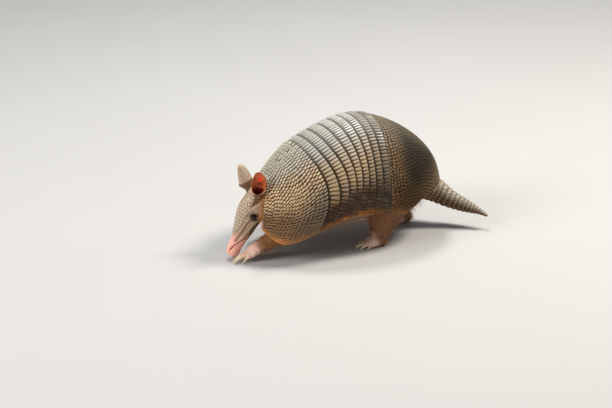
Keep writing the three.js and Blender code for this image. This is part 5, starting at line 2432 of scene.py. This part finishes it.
@dataclass(frozen=True)
class Studio:
    """A plain floor, soft lights and the camera."""

    lamps: tuple[Lamp, ...] = (
        Lamp("key", (0.35, 1.20, 1.75), 0.6, 42.0, (1.0, 0.95, 0.87)),
        Lamp("fill", (0.3, -2.1, 1.3), 1.2, 40.0, (1.0, 0.98, 0.95), highlights=False),
        Lamp("rim", (-0.68, 0.12, 1.95), 0.55, 24.0, (0.96, 0.98, 1.0)),
    )
    aim: Point = (0, 0, 0.08)
    sky: tuple[float, float, float, float] = (0.88, 0.92, 0.97, 1)
    sky_strength: float = 0.30
    floor: float = 12.0
    azimuth: float = math.radians(63)
    elevation: float = math.radians(20)
    distance: float = 3200.0
    pixels_per_mm: float = 0.70
    origin_pixel: Span = (350, 237)
    frame_size: tuple[int, int] = (612, 408)
    sensor: float = 36.0
    sight: float = 50.0

    def camera(self, shop: Workshop) -> None:
        """Sets the camera at its viewing angle."""
        sin_a, cos_a = math.sin(self.azimuth), math.cos(self.azimuth)
        level, rise = math.cos(self.elevation), math.sin(self.elevation)
        back = np.array([sin_a * level, -cos_a * level, rise])
        right = np.array([cos_a, sin_a, 0])
        up = np.cross(back, right)
        middle = np.array(self.frame_size) / 2
        aim = (middle[0] - self.origin_pixel[0]) / self.pixels_per_mm * right
        aim = aim + (self.origin_pixel[1] - middle[1]) / self.pixels_per_mm * up
        place = shop.place(aim + back * self.distance)
        data = bpy.data.cameras.new("camera")
        data.sensor_width = self.sensor
        data.lens = self.pixels_per_mm * self.distance / self.frame_size[0] * self.sensor
        data.clip_end = self.sight
        camera = bpy.data.objects.new("camera", data)
        camera.matrix_world = standing(right, up, back, place)
        bpy.context.scene.collection.objects.link(camera)
        bpy.context.scene.camera = camera

    def build(self, shop: Workshop) -> None:
        """Makes the floor, the lights and the camera."""
        size = self.floor
        corners = np.array([[-size, -size, 0], [size, -size, 0], [size, size, 0], [-size, size, 0]])
        mesh = mesh_of("floor", corners, [np.array([[0, 1, 2, 3]])])
        mesh.materials.append(FloorFinish("pale_floor").build())
        floor = bpy.data.objects.new("floor", mesh)
        bpy.context.scene.collection.objects.link(floor)
        for lamp in self.lamps:
            lamp.build(self.aim)
        world = bpy.data.worlds.new("studio")
        world.use_nodes = True
        background = world.node_tree.nodes["Background"]
        background.inputs["Color"].default_value = self.sky
        background.inputs["Strength"].default_value = self.sky_strength
        bpy.context.scene.world = world
        bpy.context.scene.view_settings.view_transform = "Standard"
        self.camera(shop)


def main() -> None:
    """Builds the animal piece by piece."""
    logging.basicConfig(level=logging.INFO, format="%(message)s")
    shop = Workshop.on_frame("eye_left", EYE_PLACE)
    Studio().build(shop)
    Carapace().build(shop)
    body = Build()
    surface = Skin(body).build(shop, SkinFinish("leathery_skin").build())
    Coat(body, surface).build(shop)
    crown = ArmourFinish(
        "crown_scutes",
        ridge=(0.50, 0.39, 0.265),
        shoulder=(0.46, 0.34, 0.22),
        flank=(0.36, 0.22, 0.13),
        rim=(0.34, 0.17, 0.09),
        seam=(0.17, 0.095, 0.05),
        ridge_seam=(0.24, 0.16, 0.10),
        worn_and_highlight_tone=(0.66, 0.56, 0.43),
    )
    HeadShield(body.head).build(shop, crown.build())
    # The tail's flank tones are the painted shade on its underside.
    rings = ArmourFinish(
        "tail_scutes",
        ridge=(0.37, 0.295, 0.205),
        shoulder=(0.32, 0.195, 0.10),
        flank=(0.22, 0.098, 0.034),
        rim=(0.22, 0.098, 0.034),
        worn_and_highlight_tone=(0.48, 0.395, 0.28),
    )
    Tail().build(shop, rings.build())
    Eyes().build(shop, EyeFinish("wet_eye").build())
    Claws(body.feet).build(shop, HornFinish("claw_horn").build())


if __name__ == "__main__":
    main()
